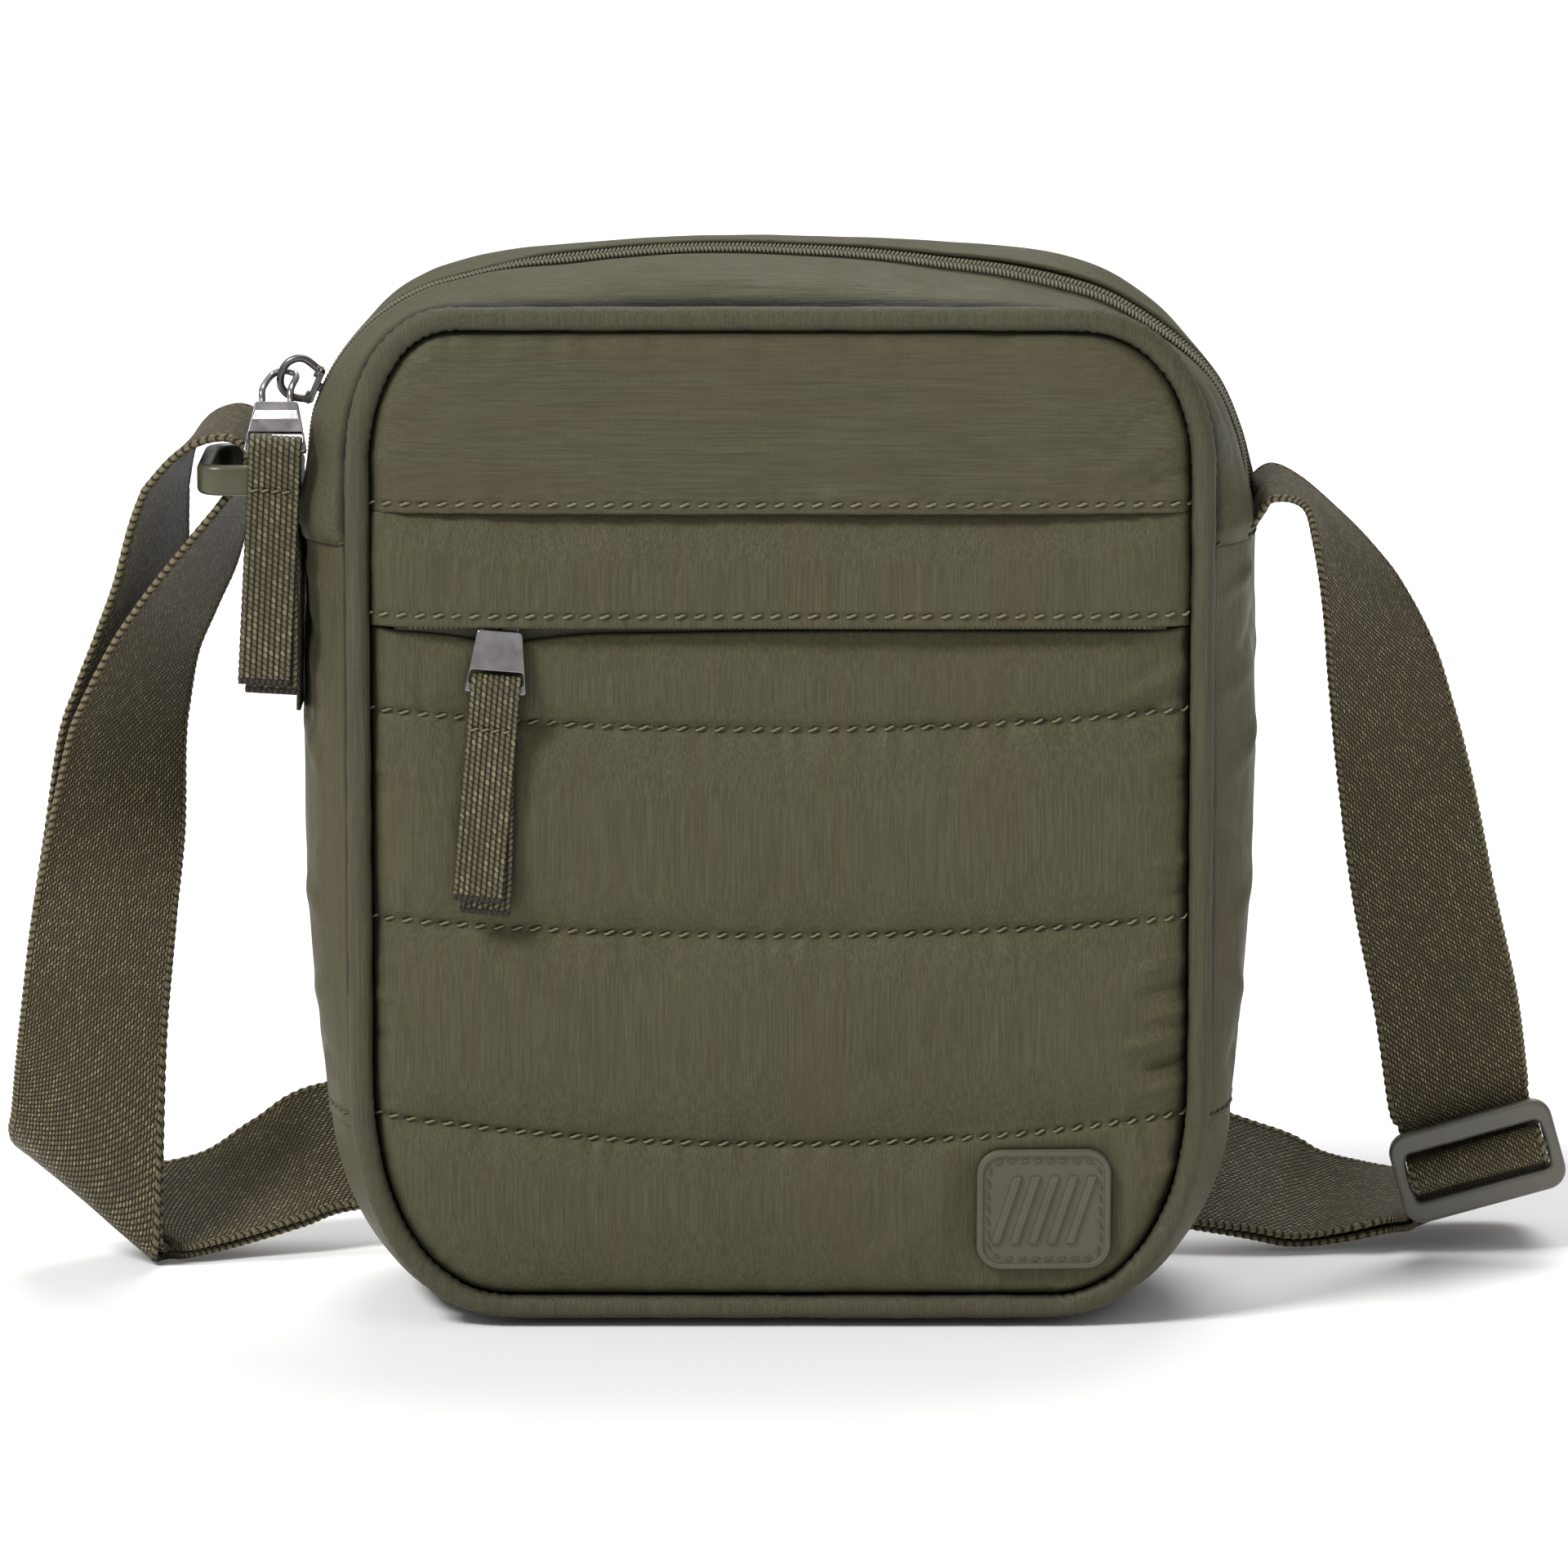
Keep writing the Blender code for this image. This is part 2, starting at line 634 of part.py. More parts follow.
TAG_H, TAG_BAR, TAG_SLOT = 12.4, 1.9, 2.9
tag = flat("main_pull_tag", tag_loops(9.4, 14.0, TAG_H, TAG_SLOT, TAG_BAR), 1.5, "metal")
tag.rotation_euler = (math.pi / 2 - TAG_LEAN, 0, 0)
tag.location = TAG_TOP * MM
bpy.context.view_layer.update()
hang(tag, pull_axis)


def eye_loops(length, gap_r=1.8, wall=1.1, half=1.25):
    """Side profile of a folded webbing pull: an eye at the top, two sewn layers below.
    Local x is depth, y is up; the eye's centre is the origin."""
    outer, r = [], gap_r + wall
    a0 = math.degrees(math.asin(half / r))
    for i in range(13):
        a = math.radians(-90 + a0 + (360 - 2 * a0) * i / 12)
        outer.append((r * math.cos(a), r * math.sin(a)))
    outer += [(-half, -length), (half, -length)]
    inner = [(gap_r * math.cos(-2 * math.pi * i / 12), gap_r * math.sin(-2 * math.pi * i / 12)) for i in range(12)]
    return [outer, inner]


def webbing_pull(name, pos, length, width, tilt, lean=0.0):
    ob = flat(name, eye_loops(length), width, "webbing")
    # profile plane is YZ: local x -> -Y, local y -> +Z, extrusion -> X
    m = Matrix(((0, 0, -1), (-1, 0, 0), (0, 1, 0))).to_4x4()
    ob.matrix_world = (Matrix.Translation(Vector(pos) * MM) @ Matrix.Rotation(tilt, 4, "Y")
                       @ Matrix.Rotation(-lean, 4, "X") @ m)
    return ob


TAPE_EYE = tag_point(0.0, TAG_H - TAG_BAR / 2)
TAPE_TILT = math.radians(3.2)
tape_axis = empty("main_pull_tape_axis", TAPE_EYE)
ob = webbing_pull("main_pull_tape", TAPE_EYE, 51.5, 11.5, TAPE_TILT)
hang(ob, tape_axis)

# ---------------------------------------------------------------- pocket zip slider and pull
PK_X = -60.9


def pocket_frame(r):
    m = Matrix((Vector((1, 0, 0)), Vector((0, 0, 1)), Vector((0, -1, 0)))).transposed().to_4x4()
    m.translation = Vector((PK_X, -33.3 - r, ZIP_Z)) * MM
    return m


pocket_slider = slider_plates("pocket_slider_body", pocket_frame, "metal", outer=2.4, inner=-2.0)
hook = catmull([(PK_X, -36.1, 154.7), (PK_X, -36.5, 153.4), (PK_X, -37.6, 152.9), (PK_X, -38.9, 153.2),
                (PK_X, -39.85, 154.3), (PK_X, -40.0, 155.4)], 3)
join(pocket_slider, [solid(tube("pocket_slider_hook", hook, 0.5, "metal"))])
PK_AXIS = Vector((PK_X, -37.9, 155.2))
PK_TILT, PK_LEAN, PK_TAPE_LEAN = math.radians(4.5), math.radians(7.0), math.radians(3.5)
PK_TAG_H, PK_TOP = 13.6, 0.9
pk_axis = empty("pocket_pull_axis", PK_AXIS)
loops = tag_loops(9.8, 13.4, PK_TAG_H, TAG_SLOT, TAG_BAR, round_rect(5.0, 2.9, 0.7, 2, 0, -1.8 - 1.45))
tag = flat("pocket_pull_tag", [[(x, y + PK_TOP) for x, y in lp] for lp in loops], 1.3, "metal")
pk_turn = Matrix.Rotation(PK_TILT, 4, "Y") @ Matrix.Rotation(-PK_LEAN, 4, "X")
tag.matrix_world = Matrix.Translation(PK_AXIS * MM) @ pk_turn @ Matrix.Rotation(math.pi / 2, 4, "X")
hang(tag, pk_axis)
PK_EYE = PK_AXIS + pk_turn.to_3x3() @ Vector((0, 0, -(PK_TAG_H - PK_TOP - TAG_BAR / 2)))
pk_tape_axis = empty("pocket_pull_tape_axis", PK_EYE)
ob = webbing_pull("pocket_pull_tape", PK_EYE, 48.0, 11.0, PK_TILT * 1.15, PK_TAPE_LEAN)
hang(ob, pk_tape_axis)

# ---------------------------------------------------------------- left ring and its tab
RING_Y = 3.0
RING_AXIS = Vector((-108.6, RING_Y, 185.6))
ring_axis = empty("strap_ring_axis", RING_AXIS)
RING_X0, RING_X1, RING_LEN, RING_TALL = -128.0, -106.6, 38.0, 6.8
n = 4
half = RING_LEN / 2


def ring_u(x0, x1, h, r):
    """Three sides of a rounded rectangle, open at +X."""
    out = [(x1, h)]
    for i in range(n + 1):
        a = math.radians(90 + 90 * i / n)
        out.append((x0 + r + r * math.cos(a), h - r + r * math.sin(a)))
    for i in range(n + 1):
        a = math.radians(180 + 90 * i / n)
        out.append((x0 + r + r * math.cos(a), -h + r + r * math.sin(a)))
    out.append((x1, -h))
    return out


ring_out = ring_u(RING_X0, RING_X1 + 0.0, half, 6.0)
ring_in = ring_u(RING_X0 + 3.2, RING_X1 + 0.0, half - 3.0, 3.0)
ring = flat("strap_ring", [ring_out + ring_in[::-1]], RING_TALL, "painted")
ring.location = Vector((0, RING_Y, 185.6)) * MM
bar = tube("strap_ring_bar", [(RING_AXIS.x, RING_Y - half + 1.4, RING_AXIS.z), (RING_AXIS.x, RING_Y + half - 1.4, RING_AXIS.z)],
           1.5, "painted", resolution=3)
ring = join(solid(ring), [solid(bar)])
hang(ring, ring_axis)
# webbing tab: an eye round the bar and a tail down to the seam
tab_loops = eye_loops(10.2, 1.85, 1.1, 1.2)
ob = flat("strap_tab", [[(x, y) for x, y in lp] for lp in tab_loops], 30.0, "webbing")
m = Matrix(((1, 0, 0), (0, 0, -1), (0, 1, 0))).to_4x4()       # profile in XZ, width along Y
ob.matrix_world = (Matrix.Translation(RING_AXIS * MM) @ Matrix.Rotation(math.radians(-13.0), 4, "Y") @ m)

# ---------------------------------------------------------------- slide buckle
BUCKLE = Vector((158.5, 36.0, 22.2))
BUCKLE_TILT = math.radians(15.7)
BU = Vector((math.cos(BUCKLE_TILT), 0, math.sin(BUCKLE_TILT)))      # along the bar
BV = Vector((-math.sin(BUCKLE_TILT), 0, math.cos(BUCKLE_TILT)))     # along the strap
BUCKLE_L, BUCKLE_H, BUCKLE_T = 38.0, 21.4, 2.8
buckle_axis = empty("strap_buckle_centre", BUCKLE)
buckle = flat("strap_buckle", [round_rect(BUCKLE_L, BUCKLE_H, 4.6, 4), round_rect(31.6, 11.4, 1.4, 2)], BUCKLE_T, "painted")
buckle.matrix_world = Matrix.Translation(BUCKLE * MM) @ Matrix.Rotation(-BUCKLE_TILT, 4, "Y") @ Matrix.Rotation(math.pi / 2, 4, "X")
bar = tube("strap_buckle_bar", [BUCKLE - BU * 17.4, BUCKLE + BU * 17.4], 1.25, "painted", resolution=3)
buckle = join(solid(buckle), [solid(bar)])
hang(buckle, buckle_axis)


# ---------------------------------------------------------------- strap
def at_buckle(v, y, w=STRAP_W):
    """A rib across the strap, v up the strap from the buckle's bar."""
    c = BUCKLE + BV * v
    return (Vector((c.x, y, c.z)) + BU * w / 2, Vector((c.x, y, c.z)) - BU * w / 2)


def ribbon(name, ribs, per=3):
    """Flat webbing through pairs of edge points."""
    left = catmull([r[0] for r in ribs], per)
    right = catmull([r[1] for r in ribs], per)
    rows = [[tuple(a), tuple(a.lerp(b, 0.5)), tuple(b)] for a, b in zip(left, right)]
    return sheet(name, rows, "webbing", STRAP_T, offset=0.0)


def layer(ribs, d):
    """The same ribs, moved across the strap's face by d."""
    ribs = [(Vector(a), Vector(b)) for a, b in ribs]
    mids = [(a + b) / 2 for a, b in ribs]
    out = []
    for i, (a, b) in enumerate(ribs):
        t = mids[min(i + 1, len(ribs) - 1)] - mids[max(i - 1, 0)]
        nn = (b - a).cross(t).normalized()
        out.append((a + nn * d, b + nn * d))
    return out


# arch on the right: near edge, far edge
ARCH = [((105.4, -15.7, 178.7), (105.2, 15.7, 182.2)), ((107.4, -15.7, 181.4), (109.2, 15.7, 184.6)),
        ((112.1, -14.9, 181.4), (115.4, 16.5, 181.6)), ((115.6, -13.2, 178.9), (123.1, 17.2, 175.0)),
        ((117.4, -9.8, 172.2), (131.2, 17.8, 167.0)), ((119.1, -5.0, 162.6), (138.6, 19.2, 158.0)),
        ((120.9, 2.3, 148.0), (145.6, 22.4, 145.0)), ((122.6, 9.5, 131.0), (151.0, 23.4, 128.8)),
        ((124.9, 18.8, 112.0), (155.6, 25.4, 111.8)), ((128.9, 27.0, 84.6), (160.9, 30.0, 87.2)),
        ((134.6, 34.5, 57.3), (166.8, 35.0, 62.0)),
        tuple(reversed(at_buckle(16.0, 39.8))), tuple(reversed(at_buckle(11.8, 40.4)))]
ribbon("strap_arch", ARCH)

# over the buckle's bar
cross = [at_buckle(v, y, 30.4) for v, y in ((11.2, 40.4), (7.4, 39.9), (4.7, 38.3), (3.6, 36.0), (2.6, 33.9), (1.2, 33.1),
                                            (0.0, 32.9), (-1.2, 33.1), (-2.6, 33.9), (-3.6, 36.0), (-4.7, 38.3), (-7.4, 39.9), (-8.6, 40.2))]
ob = ribbon("strap_bar_loop", cross, per=2)
hang(ob, buckle_axis)

# two layers, behind the body: (right or upper edge, left or lower edge)
REAR = [((176.3, 47.0, 17.6), (145.4, 43.2, 8.8)), ((174.5, 60.0, 15.0), (144.8, 44.0, 7.6)),
        ((171.0, 72.6, 10.6), (144.0, 44.4, 6.2)), ((160.0, 74.6, 8.6), (142.4, 43.4, 5.6)),
        ((140.8, 73.0, 11.2), (137.7, 41.4, 5.4)), ((133.3, 70.1, 13.4), (127.6, 40.6, 3.4)),
        ((124.0, 64.6, 17.4), (116.4, 38.8, 2.6)), ((112.0, 62.0, 24.0), (103.4, 39.8, 4.6)),
        ((70.0, 60.0, 36.4), (66.0, 45.6, 8.0)), ((0.0, 60.0, 40.4), (0.0, 48.0, 10.4)),
        ((-70.0, 61.0, 38.6), (-64.0, 46.6, 10.2)), ((-106.2, 60.6, 34.3), (-96.5, 42.4, 10.0)),
        ((-121.0, 59.0, 26.0), (-109.2, 36.8, 7.4)), ((-133.5, 55.6, 18.6), (-122.4, 32.6, 4.4)),
        ((-150.0, 48.0, 17.6), (-133.6, 28.6, 2.4)), ((-166.0, 39.0, 22.6), (-137.8, 30.0, 1.9)),
        ((-172.4, 34.6, 27.6), (-139.6, 29.6, 1.8)), ((-174.0, 30.6, 31.4), (-140.6, 26.6, 2.4)),
        ((-173.6, 27.2, 36.0), (-140.4, 24.6, 8.0)), ((-172.7, 26.0, 46.0), (-139.6, 24.2, 30.0)),
        ((-171.2, 24.6, 59.0), (-138.4, 24.2, 55.0)), ((-168.2, 21.6, 81.8), (-135.9, 22.6, 80.4)),
        ((-163.9, 14.1, 103.8), (-134.0, 23.8, 101.6))]
# layers part below the ring: one comes up through it from below, the other goes over its far side
UNDER = [((-158.4, 5.2, 124.6), (-133.4, 24.0, 121.8)), ((-154.6, 1.5, 134.2), (-132.2, 23.7, 131.2)),
         ((-148.1, -2.8, 147.0), (-130.3, 23.0, 141.8)), ((-140.7, -6.3, 158.0), (-126.2, 21.2, 151.6)),
         ((-132.6, -9.9, 168.6), (-121.6, 19.6, 162.0)), ((-125.8, -12.2, 176.4), (-119.0, 18.6, 171.6))]
OVER = [((-160.4, 9.4, 125.8), (-135.2, 28.4, 123.2)), ((-156.4, 5.0, 137.0), (-134.6, 28.2, 133.0)),
        ((-151.4, 0.4, 149.4), (-133.6, 27.2, 144.4)), ((-146.4, -4.8, 162.6), (-132.8, 24.2, 158.4)),
        ((-143.0, -8.0, 173.8), (-132.3, 21.8, 169.6)), ((-140.0, -10.9, 181.6), (-132.2, 20.0, 178.4))]
inner = [(Vector(a), Vector(b)) for a, b in layer(REAR, LAYER)] + [(Vector(a), Vector(b)) for a, b in UNDER]
outer = [(Vector(a), Vector(b)) for a, b in layer(REAR, -LAYER)] + [(Vector(a), Vector(b)) for a, b in OVER]
ribbon("strap_inner_run", inner)
ribbon("strap_outer_run", outer)

# over the ring's far side; it moves with the ring
LOOP = [((-124.6, -12.4, 177.7), (-118.6, 18.4, 173.4)), ((-120.6, -12.6, 183.0), (-116.4, 18.6, 181.4)),
        ((-117.3, -12.6, 187.9), (-114.3, 18.6, 188.6)), ((-117.4, -12.6, 192.0), (-114.4, 18.6, 194.0)),
        ((-120.4, -12.6, 194.2), (-118.2, 18.6, 197.0)), ((-124.6, -12.6, 194.2), (-122.2, 18.6, 197.0)),
        ((-129.2, -12.6, 192.6), (-126.6, 18.6, 194.6)), ((-133.6, -12.4, 189.4), (-130.2, 18.4, 189.2)),
        ((-138.6, -11.8, 183.9), (-132.0, 19.2, 181.0))]
ob = ribbon("strap_ring_loop", LOOP)
hang(ob, ring_axis)

bpy.context.view_layer.update()
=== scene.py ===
import bpy
import math
import numpy as np
from mathutils import Vector, Matrix


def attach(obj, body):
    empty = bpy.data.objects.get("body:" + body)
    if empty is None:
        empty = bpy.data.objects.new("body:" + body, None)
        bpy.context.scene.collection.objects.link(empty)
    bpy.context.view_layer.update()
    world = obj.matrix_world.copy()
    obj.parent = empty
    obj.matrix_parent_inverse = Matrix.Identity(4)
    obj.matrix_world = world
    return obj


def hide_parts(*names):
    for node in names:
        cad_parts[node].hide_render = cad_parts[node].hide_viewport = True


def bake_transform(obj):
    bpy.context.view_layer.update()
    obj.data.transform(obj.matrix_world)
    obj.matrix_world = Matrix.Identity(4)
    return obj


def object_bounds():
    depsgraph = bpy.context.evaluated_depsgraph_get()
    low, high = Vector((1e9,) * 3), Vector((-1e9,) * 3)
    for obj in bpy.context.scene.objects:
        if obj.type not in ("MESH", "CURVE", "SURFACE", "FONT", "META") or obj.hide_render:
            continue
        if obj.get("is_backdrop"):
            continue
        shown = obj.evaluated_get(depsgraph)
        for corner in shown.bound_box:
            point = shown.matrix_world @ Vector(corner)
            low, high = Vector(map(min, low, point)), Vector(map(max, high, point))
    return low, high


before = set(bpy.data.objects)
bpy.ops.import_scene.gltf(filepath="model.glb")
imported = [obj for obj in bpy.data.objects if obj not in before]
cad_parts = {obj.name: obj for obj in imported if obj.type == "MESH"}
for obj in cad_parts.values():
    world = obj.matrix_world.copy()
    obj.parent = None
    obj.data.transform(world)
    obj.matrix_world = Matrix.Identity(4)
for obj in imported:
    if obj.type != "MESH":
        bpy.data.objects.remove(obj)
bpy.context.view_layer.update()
MM = 0.001
SCENE = bpy.context.scene

# ---------------------------------------------------------------- camera, light, floor
cam_data = bpy.data.cameras.new("camera")
cam_data.lens = 210.68
cam_data.sensor_width = 36.0
cam_data.clip_start, cam_data.clip_end = 0.1, 60.0
cam = bpy.data.objects.new("camera", cam_data)
cam.location = (0.0008, -2.00462, 0.46900)
cam.rotation_euler = (math.radians(80.0), 0.0, 0.0)
SCENE.collection.objects.link(cam)
SCENE.camera = cam
SCENE.view_settings.view_transform = "Standard"

world = bpy.data.worlds.new("studio")
world.use_nodes = True
world.node_tree.nodes["Background"].inputs["Color"].default_value = (1.0, 1.0, 1.0, 1)
world.node_tree.nodes["Background"].inputs["Strength"].default_value = 0.46
SCENE.world = world


def soft_light(name, at, angle, power, colour=(1, 1, 1)):
    """A distant soft source, so that the floor is lit evenly to its far edge."""
    d = bpy.data.lights.new(name, "SUN")
    d.angle = math.radians(angle)
    d.energy = power
    d.color = colour
    o = bpy.data.objects.new(name, d)
    o.location = at
    o.rotation_euler = (-Vector(at)).to_track_quat("-Z", "Y").to_euler()
    SCENE.collection.objects.link(o)
    return o


soft_light("key", (-1.25, -1.05, 1.75), 16.0, 2.66)
soft_light("top", (0.15, 0.9, 1.7), 34.0, 1.5)


# ---------------------------------------------------------------- small helpers
def lattice(i, j, seed):
    h = (i * 374761393 + j * 668265263 + seed * 974711) & 0xFFFFFFFF
    h = ((h ^ (h >> 13)) * 1274126177) & 0xFFFFFFFF
    return ((h ^ (h >> 16)) & 0xFFFF) / 32767.5 - 1.0


def noise2(x, y, seed=0):
    """Smooth noise from -1 to 1, the same on every run."""
    x, y = np.broadcast_arrays(np.asarray(x, float), np.asarray(y, float))
    i, j = np.floor(x).astype(np.int64), np.floor(y).astype(np.int64)
    fx, fy = x - i, y - j
    fx, fy = fx * fx * (3 - 2 * fx), fy * fy * (3 - 2 * fy)
    a, b = lattice(i, j, seed), lattice(i + 1, j, seed)
    c, d = lattice(i, j + 1, seed), lattice(i + 1, j + 1, seed)
    return (a * (1 - fx) + b * fx) * (1 - fy) + (c * (1 - fx) + d * fx) * fy


def fbm(x, y, seed=0, octaves=3):
    out, amp = 0.0, 1.0
    for k in range(octaves):
        out = out + amp * noise2(x * 2 ** k, y * 2 ** k, seed + 17 * k)
        amp *= 0.5
    return out / 1.5


def smooth(a, b, x):
    t = np.clip((x - a) / (b - a), 0, 1)
    return t * t * (3 - 2 * t)


def unit(v):
    return v / np.maximum(np.linalg.norm(v, axis=-1, keepdims=True), 1e-12)


def mesh_of(name, verts, faces, material, uv=None, smooth_faces=True):
    me = bpy.data.meshes.new(name)
    me.from_pydata((np.asarray(verts, float) * MM).tolist(), [], np.asarray(faces).tolist())
    if smooth_faces:
        me.polygons.foreach_set("use_smooth", np.ones(len(me.polygons), bool))
    if uv is not None:
        layer = me.uv_layers.new(name="UVMap")
        layer.data.foreach_set("uv", (np.asarray(uv, float) * MM).astype(np.float32).ravel())
    me.update()
    ob = bpy.data.objects.new(name, me)
    ob.data.materials.append(material)
    SCENE.collection.objects.link(ob)
    return ob


def grid(name, P, material, uv=None, wrap_i=False, wrap_j=False, flip=False, thickness=0.0, caps=False):
    """A surface through an (n, m) grid of points in mm. Its normal is (along j) x (along i)."""
    P = np.asarray(P, float)
    n, m = P.shape[:2]
    ii = np.arange(n if wrap_i else n - 1)[:, None]
    jj = np.arange(m if wrap_j else m - 1)[None, :]
    a, b = ii * m + jj, ii * m + (jj + 1) % m
    c, d = ((ii + 1) % n) * m + (jj + 1) % m, ((ii + 1) % n) * m + jj
    F = np.stack([a, b, c, d], -1).reshape(-1, 4)
    if uv is None:
        # distance along the rows and columns
        gi = np.concatenate([[0], np.cumsum(np.linalg.norm(np.diff(P[:, m // 2], axis=0), axis=1))])
        gj = np.concatenate([[0], np.cumsum(np.linalg.norm(np.diff(P[n // 2], axis=0), axis=1))])
        if wrap_i:
            gi = np.append(gi, gi[-1] + np.linalg.norm(P[0, m // 2] - P[-1, m // 2]))
        if wrap_j:
            gj = np.append(gj, gj[-1] + np.linalg.norm(P[n // 2, 0] - P[n // 2, -1]))
        U = np.stack(np.meshgrid(gj, gi), -1)
    else:
        U = np.asarray(uv, float)
    ui, uj = ii[:, 0], jj[0]
    L = np.stack([U[np.ix_(ui, uj)], U[np.ix_(ui, uj + 1)], U[np.ix_(ui + 1, uj + 1)], U[np.ix_(ui + 1, uj)]], 2).reshape(-1, 4, 2)
    if flip:
        F, L = F[:, ::-1], L[:, ::-1]
    faces, loops = F.tolist(), L.reshape(-1, 2)
    if caps and wrap_j:
        first, last = list(range(m)), list(range((n - 1) * m, n * m))
        faces.append(first if flip else first[::-1])
        faces.append(last[::-1] if flip else last)
        loops = np.concatenate([loops, np.zeros((2 * m, 2))])
    me = bpy.data.meshes.new(name)
    me.from_pydata((P.reshape(-1, 3) * MM).tolist(), [], faces)
    me.polygons.foreach_set("use_smooth", np.ones(len(me.polygons), bool))
    layer = me.uv_layers.new(name="UVMap")
    layer.data.foreach_set("uv", (loops * MM).astype(np.float32).ravel())
    me.update()
    ob = bpy.data.objects.new(name, me)
    ob.data.materials.append(material)
    SCENE.collection.objects.link(ob)
    if thickness:
        s = ob.modifiers.new("thickness", "SOLIDIFY")
        s.thickness = thickness * MM
        s.offset = -1.0
        s.use_rim = True
    return ob


def catmull(pts, per):
    P = np.asarray(pts, float)
    E = np.concatenate([[2 * P[0] - P[1]], P, [2 * P[-1] - P[-2]]])
    out = []
    for i in range(1, len(E) - 2):
        p0, p1, p2, p3 = E[i - 1:i + 3]
        for k in range(per):
            t = k / per
            out.append(0.5 * (2 * p1 + (p2 - p0) * t + (2 * p0 - 5 * p1 + 4 * p2 - p3) * t * t
                              + (3 * p1 - p0 - 3 * p2 + p3) * t ** 3))
    out.append(P[-1])
    return np.array(out)


def lengths(P):
    return np.concatenate([[0], np.cumsum(np.linalg.norm(np.diff(P, axis=0), axis=1))])


def resample(P, n, s=None):
    P = np.asarray(P, float)
    run = lengths(P)
    at = np.linspace(0, run[-1], n) if s is None else s
    return np.stack([np.interp(at, run, P[:, k]) for k in range(P.shape[1])], 1)


def frames(path, cyclic=False):
    """Tangent and two normals along a path, turned as little as possible."""
    P = np.asarray(path, float)
    if cyclic:
        T = unit(np.roll(P, -1, 0) - np.roll(P, 1, 0))
    else:
        T = unit(np.gradient(P, axis=0))
    ref = np.array([0, 1.0, 0]) if abs(T[0][1]) < 0.9 else np.array([1.0, 0, 0])
    N = []
    n = unit(ref - T[0] * ref.dot(T[0]))
    for t in T:
        n = unit(n - t * n.dot(t))
        N.append(n)
    N = np.array(N)
    return T, N, np.cross(T, N)


def tube(name, path, radius, material, sides=12, cyclic=False, squash=1.0, cap=True):
    P = np.asarray(path, float)
    T, N, B = frames(P, cyclic)
    r = np.broadcast_to(np.asarray(radius, float), (len(P),))
    if cap and not cyclic:
        # round the two ends
        k = np.array([1.0, 0.7, 0.3])
        head = [P[0] - T[0] * r[0] * f for f in k]
        tail = [P[-1] + T[-1] * r[-1] * f for f in k[::-1]]
        P = np.concatenate([head, P, tail])
        edge = np.sqrt(np.maximum(1 - k ** 2, 0.0025))
        r = np.concatenate([r[0] * edge, r, r[-1] * edge[::-1]])
        N = np.concatenate([[N[0]] * 3, N, [N[-1]] * 3])
        B = np.concatenate([[B[0]] * 3, B, [B[-1]] * 3])
    a = np.linspace(0, 2 * math.pi, sides, endpoint=False)
    ring = P[:, None] + r[:, None, None] * (np.cos(a)[None, :, None] * N[:, None] + squash * np.sin(a)[None, :, None] * B[:, None])
    return grid(name, ring, material, wrap_i=cyclic, wrap_j=True, caps=not cyclic)


def join_as(name, obs):
    """One object from several, as bpy.ops would join them."""
    for o in bpy.context.selected_objects:
        o.select_set(False)
    for o in obs:
        o.select_set(True)
    bpy.context.view_layer.objects.active = obs[0]
    bpy.ops.object.join()
    obs[0].name = name
    obs[0].data.name = name
    return obs[0]


def round_rect(w, h, r, n=8, cx=0.0, cy=0.0):
    out = []
    for k, (sx, sy) in enumerate(((1, 1), (-1, 1), (-1, -1), (1, -1))):
        for i in range(n + 1):
            a = math.radians(90 * k + 90 * i / n)
            out.append((cx + sx * (w / 2 - r) + r * math.cos(a), cy + sy * (h / 2 - r) + r * math.sin(a)))
    return np.array(out)


def plate(name, loops, thickness, material, bevel=0.3, matrix=None, segments=3):
    """A flat outline with holes, given thickness and rounded edges."""
    cu = bpy.data.curves.new(name, "CURVE")
    cu.dimensions = "2D"
    cu.fill_mode = "BOTH"
    cu.extrude = (thickness / 2 - bevel) * MM
    cu.bevel_depth = bevel * MM
    cu.bevel_resolution = segments
    cu.offset = -bevel * MM
    for loop in loops:
        sp = cu.splines.new("POLY")
        sp.points.add(len(loop) - 1)
        for k, p in enumerate(loop):
            sp.points[k].co = (p[0] * MM, p[1] * MM, 0, 1)
        sp.use_cyclic_u = True
    tmp = bpy.data.objects.new(name + "_c", cu)
    SCENE.collection.objects.link(tmp)
    bpy.context.view_layer.update()
    me = bpy.data.meshes.new_from_object(tmp.evaluated_get(bpy.context.evaluated_depsgraph_get()))
    bpy.data.objects.remove(tmp, do_unlink=True)
    ob = bpy.data.objects.new(name, me)
    me.materials.clear()
    me.materials.append(material)
    SCENE.collection.objects.link(ob)
    if matrix is not None:
        me.transform(matrix)
    me.polygons.foreach_set("use_smooth", np.ones(len(me.polygons), bool))
    e = ob.modifiers.new("hard edges", "EDGE_SPLIT")
    e.split_angle = math.radians(38)
    return ob


# ---------------------------------------------------------------- materials
def nd(nt, kind, inputs=None, **props):
    n = nt.nodes.new(kind)
    for k, v in props.items():
        setattr(n, k, v)
    for k, v in (inputs or {}).items():
        s = n.inputs[k]
        if isinstance(v, bpy.types.NodeSocket):
            nt.links.new(v, s)
        else:
            s.default_value = v
    return n


def M(nt, op, a, b=0.0, c=None):
    ins = {0: a, 1: b}
    if c is not None:
        ins[2] = c
    return nd(nt, "ShaderNodeMath", ins, operation=op).outputs[0]


def mix(nt, f, a, b, how="MIX"):
    return nd(nt, "ShaderNodeMix", {0: f, 6: a, 7: b}, data_type="RGBA", blend_type=how).outputs[2]


def span(nt, v, a, b, c=0.0, d=1.0):
    return nd(nt, "ShaderNodeMapRange", {0: v, 1: a, 2: b, 3: c, 4: d}).outputs[0]


